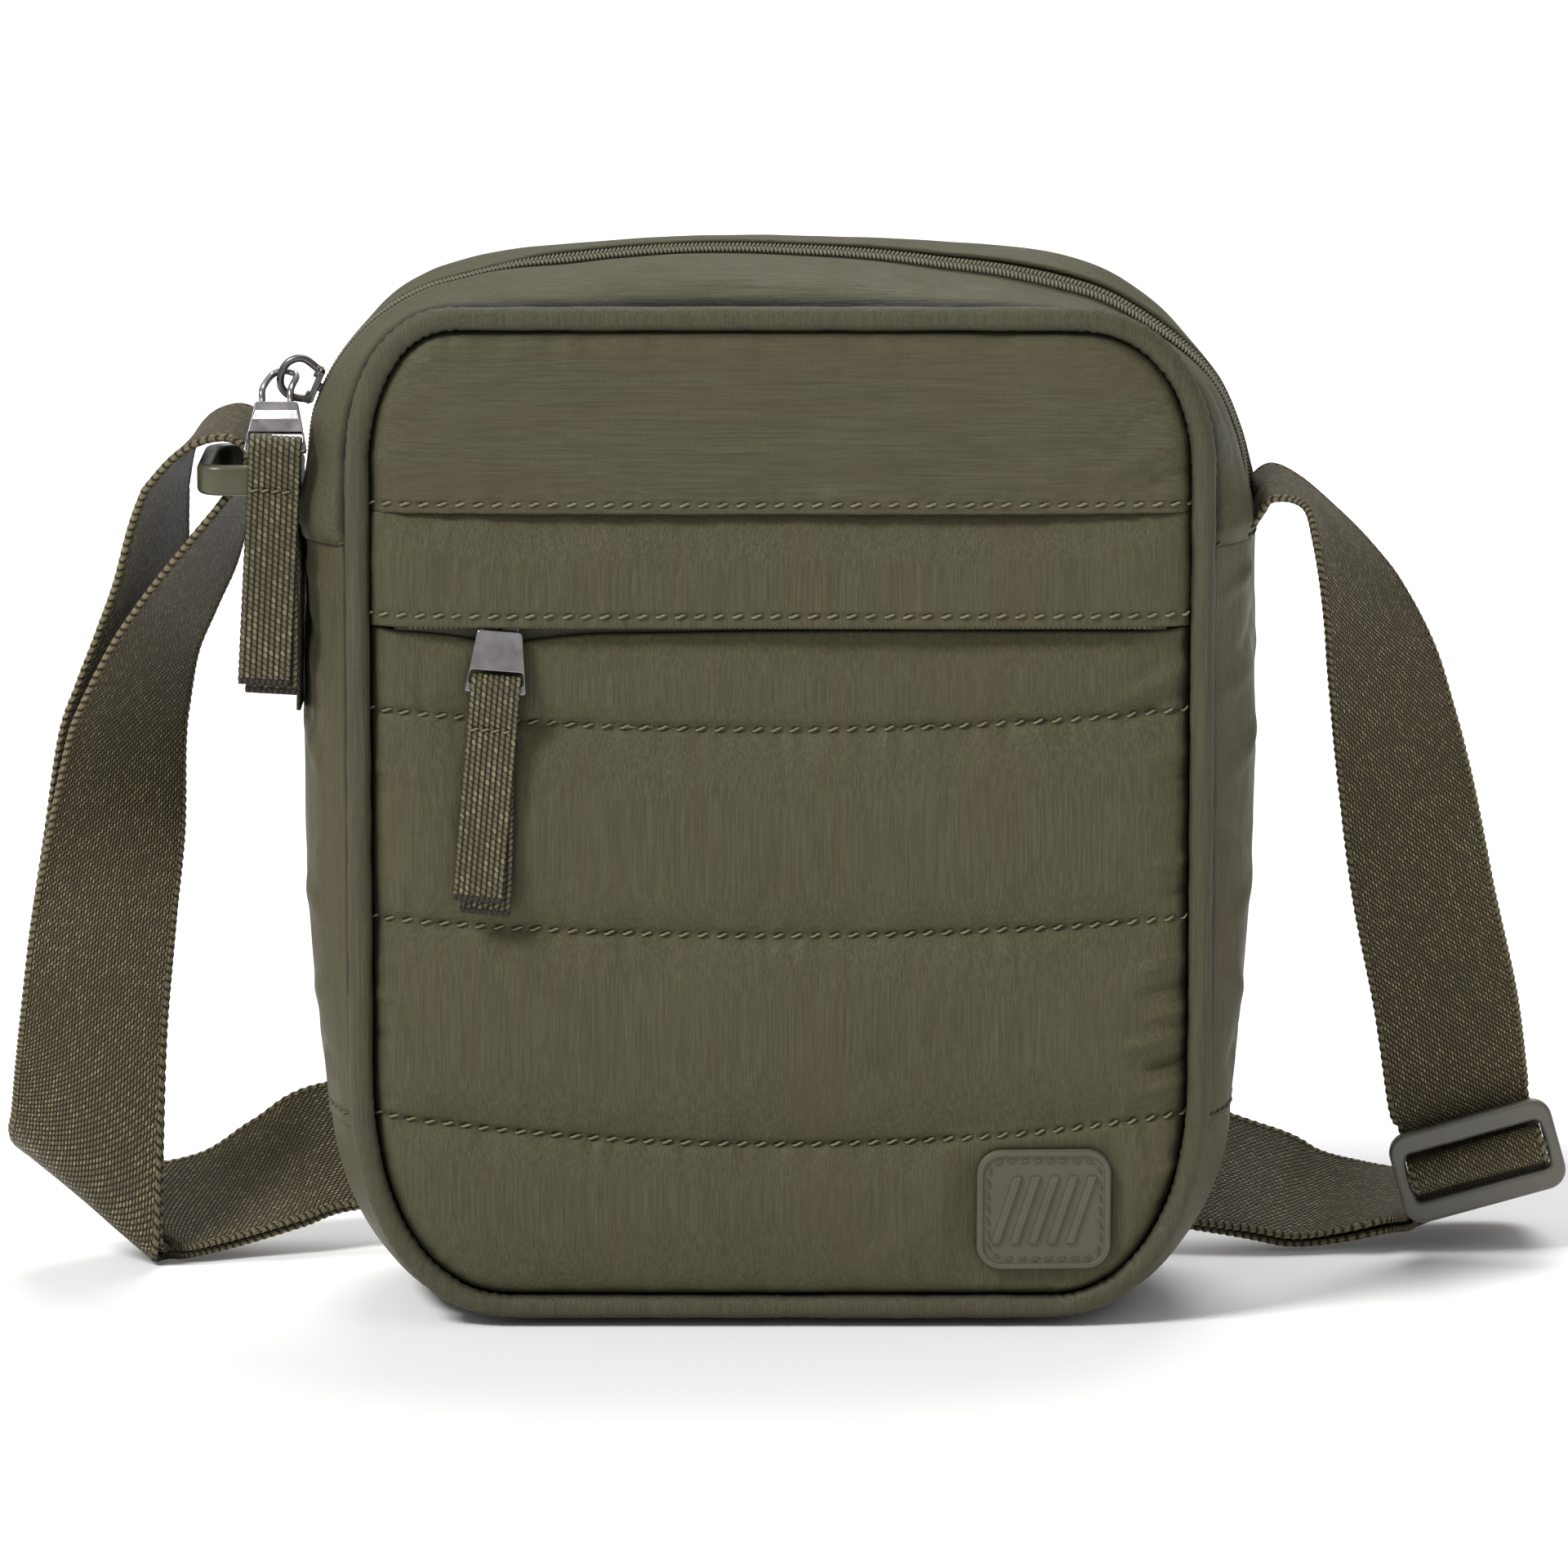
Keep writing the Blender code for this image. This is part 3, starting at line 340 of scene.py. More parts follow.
def noise_at(nt, vector, scale, detail=2.0, rough=0.5, stretch=None):
    if stretch is not None:
        vector = nd(nt, "ShaderNodeMapping", {"Vector": vector, "Scale": stretch}).outputs[0]
    return nd(nt, "ShaderNodeTexNoise", {"Vector": vector, "Scale": scale, "Detail": detail, "Roughness": rough}).outputs["Fac"]


def start(name):
    m = bpy.data.materials.new(name)
    m.use_nodes = True
    nt = m.node_tree
    b = nt.nodes["Principled BSDF"]
    co = nt.nodes.new("ShaderNodeTexCoord")
    return m, nt, b, co


def bump(nt, height, distance, strength=1.0, normal=None):
    ins = {"Height": height, "Distance": distance, "Strength": strength}
    if normal is not None:
        ins["Normal"] = normal
    return nd(nt, "ShaderNodeBump", ins).outputs["Normal"]


def rgb(c, k=1.0):
    """sRGB 0-255 to linear."""
    out = []
    for v in c:
        v = v / 255.0
        out.append(k * (v / 12.92 if v <= 0.04045 else ((v + 0.055) / 1.055) ** 2.4))
    return (*out, 1.0)


ALBEDO = 0.45


def painted_crevice_shade(nt, distance, a, b):
    """Painted shade where two pieces of cloth meet or parts crowd together, from ambient occlusion: 0 deep in a seam, 1
    in the open.
    """
    ao = nd(nt, "ShaderNodeAmbientOcclusion", {"Distance": distance}, samples=6).outputs["AO"]
    return span(nt, ao, a, b)


def nylon(name, colour, grain="z", k=1.50, tint=(97, 82, 62), tint_share=0.35, seam=None):
    """Thin semi-matt nylon: fine streaks along the grain, a soft two-tone cast and a crinkled surface, with painted
    shade in seams and crevices and, where seam is given, a painted shade band beside the piping seam.
    """
    k = k * ALBEDO
    m, nt, b, co = start(name)
    v = co.outputs["Object"]
    stretch = {"z": (2600, 2600, 55), "x": (55, 2600, 2600), "y": (2600, 55, 2600)}[grain]
    across = {"z": (420, 420, 3200), "x": (3200, 420, 420), "y": (420, 3200, 420)}[grain]
    slow = {"z": (70, 70, 16), "x": (16, 70, 70), "y": (70, 16, 70)}[grain]
    streak = noise_at(nt, v, 1.0, 2.0, 0.6, stretch)
    cross = noise_at(nt, v, 1.0, 1.0, 0.5, across)
    cast = noise_at(nt, v, 1.0, 3.0, 0.6, slow)
    patch = noise_at(nt, v, 26.0, 2.0)
    c = mix(nt, span(nt, streak, 0.34, 0.66), rgb(colour, k * 0.76), rgb(colour, k * 1.22))
    c = mix(nt, span(nt, cross, 0.35, 0.75, 0.0, 0.30), c, rgb(colour, k * 0.66))
    moire = noise_at(nt, v, 1.0, 2.0, 0.7, {"z": (900, 900, 22), "x": (22, 900, 900), "y": (900, 22, 900)}[grain])
    c = mix(nt, span(nt, moire, 0.50, 0.68, 0.0, 0.42), c, rgb(tint, k * 0.80))
    c = mix(nt, span(nt, cast, 0.46, 0.72, 0.0, tint_share), c, rgb(tint, k))
    c = mix(nt, span(nt, patch, 0.35, 0.7, 0.0, 0.16), c, rgb([x * 1.12 for x in colour], k))
    # painted shade: deep in seams and crevices the colour falls to 0.55 of itself
    c = mix(nt, painted_crevice_shade(nt, 0.0045, 0.40, 0.86), rgb([x * 0.55 for x in colour], k), c)
    # painted shade along the piping seam: up to seam[0] mm from it the colour is 0.3 of itself, clearing by seam[1] mm
    if seam is not None:
        d = nd(nt, "ShaderNodeSeparateXYZ", {0: co.outputs["UV"]}).outputs[0]
        c = mix(nt, span(nt, d, seam[0] * MM, seam[1] * MM), rgb([x * 0.30 for x in colour], k), c)
    nt.links.new(c, b.inputs["Base Color"])
    r = span(nt, noise_at(nt, v, 60.0, 3.0), 0.3, 0.7, 0.46, 0.60)
    nt.links.new(r, b.inputs["Roughness"])
    b.inputs["Sheen Weight"].default_value = 0.02
    b.inputs["Sheen Roughness"].default_value = 0.45
    b.inputs["Sheen Tint"].default_value = (0.92, 0.90, 0.72, 1)
    b.inputs["Specular IOR Level"].default_value = 0.17
    crinkle = noise_at(nt, v, 1.0, 4.0, 0.6, {"z": (150, 150, 60), "x": (60, 150, 150), "y": (150, 60, 150)}[grain])
    n1 = bump(nt, crinkle, 0.0017, 0.45)
    n2 = bump(nt, M(nt, "ADD", streak, M(nt, "MULTIPLY", cross, 0.5)), 0.00022, 0.7, n1)
    nt.links.new(n2, b.inputs["Normal"])
    return m


def webbing(name, low, high, k=1.7, rib=0.68, seg=1.34, shift=0.5, glint=0.38, depth=0.00036, selvage=True, painted_glint=0.5, vp=0.8):
    """Twill webbing from its own UVs in metres: u across the strap, v along it."""
    k = k * ALBEDO
    m, nt, b, co = start(name)
    xyz = nd(nt, "ShaderNodeSeparateXYZ", {0: co.outputs["UV"]})
    u = M(nt, "MULTIPLY", xyz.outputs[0], 1000.0 / rib)
    col = M(nt, "FLOOR", u)
    fu = M(nt, "SUBTRACT", u, col)
    v0 = M(nt, "ADD", M(nt, "MULTIPLY", xyz.outputs[1], 1000.0 / seg), M(nt, "MULTIPLY", col, shift))
    v = M(nt, "ADD", v0, M(nt, "MULTIPLY", fu, -0.50))
    row = M(nt, "FLOOR", v)
    fv = M(nt, "SUBTRACT", v, row)
    a = M(nt, "SINE", M(nt, "MULTIPLY", fu, math.pi))
    c = M(nt, "SINE", M(nt, "MULTIPLY", fv, math.pi))
    h = M(nt, "MULTIPLY", M(nt, "POWER", M(nt, "MAXIMUM", a, 0.001), 0.9), M(nt, "POWER", M(nt, "MAXIMUM", c, 0.001), vp))
    cell = nd(nt, "ShaderNodeTexWhiteNoise", {0: nd(nt, "ShaderNodeCombineXYZ", {0: col, 1: row}).outputs[0]}, noise_dimensions="2D").outputs[0]
    slow = noise_at(nt, co.outputs["Object"], 38.0, 3.0)
    fibre = noise_at(nt, co.outputs["UV"], 1.0, 2.0, 0.6, (5200, 900, 1))
    # the twill's own pattern, with painted shade in the weave's hollows and painted light on the yarn tops
    base = mix(nt, span(nt, h, 0.34, 0.74), rgb(low, k * 0.45), rgb(high, k * 1.12))
    base = mix(nt, span(nt, cell, 0.0, 0.8, glint, 0.0), base, rgb(low, k))
    # painted glints: random yarn tops are brightened to half again the light colour
    painted_glint_mask = M(nt, "MULTIPLY", span(nt, cell, 0.66, 0.95), span(nt, h, 0.40, 0.80))
    base = mix(nt, M(nt, "MULTIPLY", painted_glint_mask, painted_glint), base, rgb([min(250, x * 1.5) for x in high], k))
    base = mix(nt, span(nt, slow, 0.4, 0.75, 0.0, 0.3), base, rgb([x * 0.95 for x in low], k))
    if selvage:
        # the selvage: a round cord of yarn, its turns one by one, with painted shade between the turns and painted
        # light on them
        out = M(nt, "ABSOLUTE", M(nt, "SUBTRACT", M(nt, "MULTIPLY", xyz.outputs[0], 1000.0), 32.5))
        turn_ = M(nt, "ABSOLUTE", M(nt, "SINE", M(nt, "ADD", M(nt, "MULTIPLY", xyz.outputs[1], 1000.0 * math.pi / 1.95), M(nt, "MULTIPLY", out, 0.9))))
        cord_ = mix(nt, span(nt, turn_, 0.25, 0.85), rgb(low, k * 0.42), rgb(high, k * 1.05))
        base = mix(nt, span(nt, out, 14.95, 15.25), base, cord_)
    # painted shade: where the webbing crowds against other parts the colour falls toward 0.6 of the low tone
    base = mix(nt, painted_crevice_shade(nt, 0.003, 0.30, 0.80), rgb([x * 0.6 for x in low], k), base)
    if not selvage:
        base = mix(nt, span(nt, xyz.outputs[0], 0.10, 0.11), base, rgb((66, 58, 52), k))
    nt.links.new(base, b.inputs["Base Color"])
    nt.links.new(span(nt, fibre, 0.3, 0.7, 0.38, 0.60), b.inputs["Roughness"])
    b.inputs["Specular IOR Level"].default_value = 0.22
    n1 = bump(nt, M(nt, "ADD", h, M(nt, "MULTIPLY", fibre, 0.18)), depth, 1.0)
    nt.links.new(n1, b.inputs["Normal"])
    return m


def metal(name, colour, rough=0.28, brushed=(1500, 1500, 60)):
    m, nt, b, co = start(name)
    v = co.outputs["Object"]
    fine = noise_at(nt, v, 1.0, 2.0, 0.6, brushed)
    blot = noise_at(nt, v, 240.0, 3.0)
    c = mix(nt, span(nt, blot, 0.3, 0.7), rgb(colour, 0.86), rgb(colour, 1.1))
    c = mix(nt, span(nt, fine, 0.55, 0.75, 0.0, 0.25), c, rgb(colour, 1.35))
    nt.links.new(c, b.inputs["Base Color"])
    b.inputs["Metallic"].default_value = 1.0
    nt.links.new(span(nt, blot, 0.3, 0.7, rough * 0.8, rough * 1.3), b.inputs["Roughness"])
    nt.links.new(bump(nt, M(nt, "ADD", fine, blot), 0.00004, 0.5), b.inputs["Normal"])
    return m


def painted(name, colour, k=1.5, rough=0.36):
    """Lacquered metal with a fine orange-peel texture; its convex edges are painted lighter, as slightly rubbed lacquer
    and as a painted highlight.
    """
    k = k * ALBEDO
    m, nt, b, co = start(name)
    v = co.outputs["Object"]
    peel = noise_at(nt, v, 1500.0, 2.0)
    blot = noise_at(nt, v, 130.0, 3.0)
    edge = nd(nt, "ShaderNodeNewGeometry").outputs["Pointiness"]
    c = mix(nt, span(nt, blot, 0.3, 0.7), rgb(colour, k * 0.9), rgb(colour, k * 1.12))
    # lighter on convex edges: rubbed lacquer and a painted highlight
    c = mix(nt, span(nt, M(nt, "ADD", edge, M(nt, "MULTIPLY", blot, 0.06)), 0.56, 0.66, 0.0, 0.35), c, rgb([min(255, x * 1.35) for x in colour], k))
    nt.links.new(c, b.inputs["Base Color"])
    b.inputs["Metallic"].default_value = 0.15
    nt.links.new(span(nt, blot, 0.3, 0.7, rough * 0.85, rough * 1.25), b.inputs["Roughness"])
    b.inputs["Coat Weight"].default_value = 0.25
    b.inputs["Coat Roughness"].default_value = 0.3
    nt.links.new(bump(nt, M(nt, "ADD", M(nt, "MULTIPLY", peel, 0.6), blot), 0.00006, 0.5), b.inputs["Normal"])
    return m


def rubber(name, colour, k=1.7):
    k = k * ALBEDO
    m, nt, b, co = start(name)
    v = co.outputs["Object"]
    grainy = noise_at(nt, v, 2600.0, 2.0)
    blot = noise_at(nt, v, 110.0, 3.0)
    c = mix(nt, span(nt, blot, 0.3, 0.7), rgb(colour, k * 0.92), rgb(colour, k * 1.08))
    nt.links.new(c, b.inputs["Base Color"])
    nt.links.new(span(nt, grainy, 0.3, 0.7, 0.50, 0.66), b.inputs["Roughness"])
    nt.links.new(bump(nt, grainy, 0.00004, 0.4), b.inputs["Normal"])
    return m


def cloth_plain(name, colour, k=1.6, scale=1500.0, rough=0.8):
    k = k * ALBEDO
    m, nt, b, co = start(name)
    v = co.outputs["Object"]
    w = noise_at(nt, v, scale, 2.0)
    slow = noise_at(nt, v, 45.0, 3.0)
    c = mix(nt, span(nt, w, 0.3, 0.7), rgb(colour, k * 0.75), rgb(colour, k * 1.2))
    c = mix(nt, span(nt, slow, 0.35, 0.7, 0.0, 0.3), c, rgb([x * 0.85 for x in colour], k))
    nt.links.new(c, b.inputs["Base Color"])
    nt.links.new(span(nt, w, 0.2, 0.8, rough - 0.1, rough + 0.1), b.inputs["Roughness"])
    nt.links.new(bump(nt, w, 0.0002, 0.6), b.inputs["Normal"])
    return m


def thread(name, colour, k=1.6):
    k = k * ALBEDO
    m, nt, b, co = start(name)
    xyz = nd(nt, "ShaderNodeSeparateXYZ", {0: co.outputs["UV"]})
    twist = M(nt, "SINE", M(nt, "ADD", M(nt, "MULTIPLY", xyz.outputs[1], 9000.0), M(nt, "MULTIPLY", xyz.outputs[0], 5200.0)))
    n = noise_at(nt, co.outputs["Object"], 700.0, 2.0)
    c = mix(nt, span(nt, twist, -1, 1), rgb(colour, k * 0.62), rgb(colour, k * 1.2))
    c = mix(nt, span(nt, n, 0.35, 0.7, 0.0, 0.35), c, rgb((70, 62, 46), k))
    nt.links.new(c, b.inputs["Base Color"])
    nt.links.new(span(nt, twist, -1, 1, 0.45, 0.6), b.inputs["Roughness"])
    nt.links.new(bump(nt, twist, 0.00008, 0.6), b.inputs["Normal"])
    return m


NYLON_V = nylon("nylon_upright_grain", (93, 91, 66))
NYLON_H = nylon("nylon_level_grain", (94, 92, 68), grain="x", tint_share=0.55)
# seam: where the painted shade band beside the piping seam lies, in mm from the seam
NYLON_SIDE = nylon("nylon_gusset", (92, 90, 66), tint=(99, 80, 62), tint_share=0.45, seam=(2.2, 3.9))
NYLON_TOP = nylon("nylon_top_gusset", (91, 90, 67), grain="x", seam=(2.3, 5.2))
NYLON_PIPE = nylon("nylon_piping", (90, 88, 69), tint_share=0.2)
STRAP_M = webbing("strap_webbing", (67, 60, 43), (134, 123, 92))
PULL_M = webbing("pull_webbing", (60, 54, 39), (118, 110, 84), rib=1.278, seg=1.3, shift=0.5, glint=0.35, depth=0.0003, selvage=False, painted_glint=0.45, vp=0.35)
METAL = metal("gunmetal", (150, 146, 148))
# a brighter copy of the gunmetal: a painted highlight for the pull tag's raised lip
METAL_HIGHLIGHT = metal("gunmetal_painted_highlight", (226, 222, 220), 0.42)
METAL_DARK = metal("dark_nickel", (104, 100, 99), 0.3)
PAINT_BUCKLE = painted("buckle_lacquer", (104, 101, 90))
PAINT_RING = painted("ring_lacquer", (84, 83, 58))
RUBBER = rubber("patch_rubber", (90, 89, 69))
THREAD = thread("thread", (142, 132, 98), 1.85)
THREAD_G = thread("thread_shell", (104, 98, 70), 1.6)
COIL = cloth_plain("zip_coil", (112, 107, 86), 1.75, 1400.0, 0.55)
TAPE = cloth_plain("zip_tape", (76, 72, 52), 1.6, 1800.0, 0.8)
LINING = cloth_plain("lining_cloth", (72, 69, 54), 1.5, 2200.0, 0.7)
WADDING = cloth_plain("wadding", (205, 204, 196), 1.0, 500.0, 0.95)

floor_m, nt, b, co = start("pale_floor")
c = mix(nt, noise_at(nt, co.outputs["Object"], 3.0, 2.0), (0.93, 0.93, 0.93, 1), (0.95, 0.95, 0.95, 1))
nt.links.new(c, b.inputs["Base Color"])
b.inputs["Roughness"].default_value = 0.65
b.inputs["Specular IOR Level"].default_value = 0.2
floor = mesh_of("floor", np.array([(-9000, -6000, 0), (9000, -6000, 0), (9000, 14000, 0), (-9000, 14000, 0)]), [(0, 1, 2, 3)], floor_m)
floor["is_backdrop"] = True

# ---------------------------------------------------------------- strap (its route is part.py's)
STRAP_W, STRAP_T, LAYER = 32.5, 1.5, 1.25
BUCKLE = np.array([158.5, 36.0, 22.2])
TILT = math.radians(15.7)
BU = np.array([math.cos(TILT), 0, math.sin(TILT)])
BV = np.array([-math.sin(TILT), 0, math.cos(TILT)])


def at_buckle(v, y, w=STRAP_W):
    c = BUCKLE + BV * v
    c = np.array([c[0], y, c[2]])
    return (c + BU * w / 2, c - BU * w / 2)


def layer(ribs, d):
    ribs = [(np.array(a, float), np.array(b, float)) for a, b in ribs]
    mids = [(a + b) / 2 for a, b in ribs]
    out = []
    for i, (a, b) in enumerate(ribs):
        t = mids[min(i + 1, len(ribs) - 1)] - mids[max(i - 1, 0)]
        n = np.cross(b - a, t)
        n = n / np.linalg.norm(n)
        out.append((a + n * d, b + n * d))
    return out


ARCH = [((103.2, -15.4, 175.2), (103.0, 15.6, 178.6)), ((105.4, -15.7, 178.7), (105.2, 15.7, 182.2)), ((107.4, -15.7, 181.4), (109.2, 15.7, 184.6)),
        ((112.1, -14.9, 181.4), (115.4, 16.5, 181.6)), ((115.6, -13.2, 178.9), (123.1, 17.2, 175.0)),
        ((117.4, -9.8, 172.2), (131.2, 17.8, 167.0)), ((119.1, -5.0, 162.6), (138.6, 19.2, 158.0)),
        ((120.9, 2.3, 148.0), (145.6, 22.4, 145.0)), ((122.6, 9.5, 131.0), (151.0, 23.4, 128.8)),
        ((124.9, 18.8, 112.0), (155.6, 25.4, 111.8)), ((128.9, 27.0, 84.6), (160.9, 30.0, 87.2)),
        ((134.6, 34.5, 57.3), (166.8, 35.0, 62.0)),
        tuple(reversed(at_buckle(16.0, 39.8))), tuple(reversed(at_buckle(11.4, 40.35, 30.6)))]
CROSS = [tuple(reversed(at_buckle(v, y, 31.1))) for v, y in
         ((7.4, 39.9), (4.7, 38.3), (3.6, 36.0), (2.6, 33.9), (1.2, 33.1), (0.0, 32.9), (-1.2, 33.1),
          (-2.6, 33.9), (-3.6, 36.0), (-4.7, 38.3), (-7.4, 39.9), (-8.6, 40.2))]
REAR = [((176.3, 47.0, 17.6), (145.4, 43.2, 8.8)), ((174.5, 60.0, 15.0), (144.8, 44.0, 7.6)),
        ((171.0, 72.6, 10.6), (144.0, 44.4, 6.2)), ((160.0, 74.6, 8.6), (142.4, 43.4, 5.6)),
        ((140.8, 73.0, 11.2), (137.7, 41.4, 5.4)), ((133.3, 70.1, 13.4), (127.6, 40.6, 3.4)),
        ((124.0, 64.6, 17.4), (116.4, 38.8, 2.6)), ((112.0, 62.0, 24.0), (103.4, 39.8, 4.6)),
        ((70.0, 60.0, 36.4), (66.0, 45.6, 8.0)), ((0.0, 60.0, 40.4), (0.0, 48.0, 10.4)),
        ((-70.0, 61.0, 38.6), (-64.0, 46.6, 10.2)), ((-106.2, 60.6, 34.3), (-96.5, 42.4, 10.0)),
        ((-121.0, 59.0, 26.0), (-109.2, 36.8, 7.4)), ((-133.5, 55.6, 18.6), (-122.4, 32.6, 4.4)),
        ((-150.0, 48.0, 17.6), (-133.6, 28.6, 2.4)), ((-166.0, 39.0, 22.6), (-137.8, 30.0, 1.9)),
        ((-172.4, 34.6, 27.6), (-139.6, 29.6, 1.8)), ((-174.0, 30.6, 31.4), (-140.6, 26.6, 2.4)),
        ((-173.6, 27.2, 36.0), (-140.4, 24.6, 8.0)), ((-172.7, 26.0, 46.0), (-139.6, 24.2, 30.0)),
        ((-171.2, 24.6, 59.0), (-138.4, 24.2, 55.0)), ((-168.2, 21.6, 81.8), (-135.9, 22.6, 80.4)),
        ((-163.9, 14.1, 103.8), (-134.0, 23.8, 101.6))]
UNDER = [((-158.4, 5.2, 124.6), (-133.4, 24.0, 121.8)), ((-154.6, 1.5, 134.2), (-132.2, 23.7, 131.2)),
         ((-148.1, -2.8, 147.0), (-130.3, 23.0, 141.8)), ((-140.7, -6.3, 158.0), (-126.2, 21.2, 151.6)),
         ((-132.6, -9.9, 168.6), (-121.6, 19.6, 162.0)), ((-125.8, -12.2, 176.4), (-119.0, 18.6, 171.6))]
OVER = [((-160.4, 9.4, 125.8), (-135.2, 28.4, 123.2)), ((-156.4, 5.0, 137.0), (-134.6, 28.2, 133.0)),
        ((-151.4, 0.4, 149.4), (-133.6, 27.2, 144.4)), ((-146.4, -4.8, 162.6), (-132.8, 24.2, 158.4)),
        ((-143.0, -8.0, 173.8), (-132.3, 21.8, 169.6)), ((-140.0, -10.9, 181.6), (-132.2, 20.0, 178.4))]
LOOP = [((-124.6, -12.4, 177.7), (-118.6, 18.4, 173.4)), ((-120.6, -12.6, 183.0), (-116.4, 18.6, 181.4)),
        ((-117.3, -12.6, 187.9), (-114.3, 18.6, 188.6)), ((-117.4, -12.6, 192.0), (-114.4, 18.6, 194.0)),
        ((-120.4, -12.6, 194.2), (-118.2, 18.6, 197.0)), ((-124.6, -12.6, 194.2), (-122.2, 18.6, 197.0)),
        ((-129.2, -12.6, 192.6), (-126.6, 18.6, 194.6)), ((-133.6, -12.4, 189.4), (-130.2, 18.4, 189.2)),
        ((-138.6, -11.8, 183.9), (-132.0, 19.2, 181.0))]


def strap_rows(ribs, step=0.5):
    """Dense, evenly spaced left and right edges of a ribbon, and its length at each."""
    L, R = catmull([r[0] for r in ribs], 24), catmull([r[1] for r in ribs], 24)
    mid = (L + R) / 2
    run = lengths(mid)
    n = max(int(run[-1] / step), 4)
    at = np.linspace(0, run[-1], n + 1)
    L = np.stack([np.interp(at, run, L[:, k]) for k in range(3)], 1)
    R = np.stack([np.interp(at, run, R[:, k]) for k in range(3)], 1)
    return L, R, at


def strap_mesh(name, L, R, at, material, thickness=STRAP_T, across=35, seed=3, soft=0.25, cut=(False, False)):
    """Webbing with rounded, knobbly selvages. L and R are its edges."""
    mid = (L + R) / 2
    W = np.linalg.norm(R - L, axis=1)
    side = unit(R - L)
    T = unit(np.gradient(mid, axis=0))
    N = unit(np.cross(side, T))
    # the selvage knots sit at a fixed pitch, and the two edges are out of step
    knot_l = 0.34 * np.abs(np.sin(math.pi * at / 1.95))
    knot_r = 0.34 * np.abs(np.sin(math.pi * at / 1.95 + 1.1))
    u = np.linspace(-1, 1, across)
    u = np.sign(u) * np.abs(u) ** 0.72
    half = thickness / 2 * (1 - 0.16 * np.exp(-((1 - np.abs(u)) / 0.10) ** 2)) * np.where(np.abs(u) > 0.999, 0.42, 1.0)
    bead = 0.22 * np.exp(-((np.abs(u) - 0.962) / 0.028) ** 2) - 0.10 * np.exp(-((np.abs(u) - 0.91) / 0.02) ** 2)
    wave = soft * (noise2(at[:, None] / 23.0, u[None] * 1.4, seed) + 0.5 * noise2(at[:, None] / 9.0, u[None] * 2.2, seed + 5))
    fade = smooth(0, 8, at) * smooth(0, 8, at[-1] - at)
    wave = wave * fade[:, None]
    x = u[None] * (W[:, None] / 2 + np.where(u[None] < 0, knot_l[:, None] - 0.15, knot_r[:, None] - 0.15))
    C = mid[:, None] + side[:, None] * x[..., None] + N[:, None] * wave[..., None]
    H = (half + bead)[None, :, None] * N[:, None]
    P = np.concatenate([C + H, (C - H)[:, ::-1]], 1)
    us = np.concatenate([u, u[::-1], u[:1]]) * STRAP_W / 2 + STRAP_W
    U = np.stack(np.meshgrid(us, at), -1)
    U = np.stack([np.broadcast_to(us, (len(at), len(us))), np.broadcast_to(at[:, None], (len(at), len(us)))], -1)
    return grid(name, P, material, uv=U, wrap_j=True, caps=True), mid


L, R, at = strap_rows(ARCH + CROSS)
arch, arch_mid = strap_mesh("strap_front_run", L, R, at, STRAP_M, seed=3)
inner = layer(REAR, LAYER) + [(np.array(a), np.array(b)) for a, b in UNDER + LOOP[:1]]
outer = layer(REAR, -LAYER) + [(np.array(a), np.array(b)) for a, b in OVER] + [(np.array(a), np.array(b)) for a, b in LOOP[::-1]]


def split_at(ribs, name, x, seeds):
    L, R, at = strap_rows(ribs)
    mid = (L + R) / 2
    k = int(np.argmax(mid[:, 0] < x))
    right, rm = strap_mesh(name + "_right", L[:k + 1], R[:k + 1], at[:k + 1], STRAP_M, seed=seeds)
    left, lm = strap_mesh(name + "_left", L[k:], R[k:], at[k:] - at[k], STRAP_M, seed=seeds + 1)
    return right, rm, left, lm


in_right, irm, in_left, ilm = split_at(inner, "strap_inner_run_piece", -28.0, 11)
out_right, orm, out_left, olm = split_at(outer, "strap_outer_run_piece", -28.0, 21)


def route(mid, every=8):
    p = mid[::every]
    if len(mid) % every != 1:
        p = np.concatenate([p, mid[-1:]])
    return p * MM


print("strap lengths", [round(float(lengths(m)[-1]), 1) for m in (arch_mid, irm, ilm, orm, olm)])

# ---------------------------------------------------------------- body outline (as in part.py)
HALF_W, Z_LOW, Z_HIGH = 94.4, 2.0, 226.0
CORNER_TL, CORNER_TR, CORNER_B, CORNER_POWER = (24.0, 37.0), (31.0, 37.0), (36.0, 54.0), 2.2
SEAM_Z, SEAM_LOW_Z, FOLD_Z, FLAP_Z = 176.5, 43.5, 181.2, 156.5
PIPE_Y, PIPE_R = 33.0, 2.5
ZIP_Y = -6.0


def corner(cx, cz, rx, rz, a0, a1, n):
    out = []
    for i in range(n + 1):
        a = math.radians(a0 + (a1 - a0) * i / n)
        c, s = math.cos(a), math.sin(a)
        e = 2.0 / CORNER_POWER
        out.append((cx + rx * math.copysign(abs(c) ** e, c), cz + rz * math.copysign(abs(s) ** e, s)))
    return out


def outline(inset=0.0, n=40):
    w, lo, hi = HALF_W - inset, Z_LOW + inset, Z_HIGH - inset
    r = [tuple(max(v - inset, 3.0) for v in c) for c in (CORNER_TR, CORNER_TL, CORNER_B, CORNER_B)]
    pts = corner(w - r[0][0], hi - r[0][1], r[0][0], r[0][1], 0, 90, n)
    pts += corner(-w + r[1][0], hi - r[1][1], r[1][0], r[1][1], 90, 180, n)
    pts += corner(-w + r[2][0], lo + r[2][1], r[2][0], r[2][1], 180, 270, n)
    pts += corner(w - r[3][0], lo + r[3][1], r[3][0], r[3][1], 270, 360, n)
    return np.array(pts)


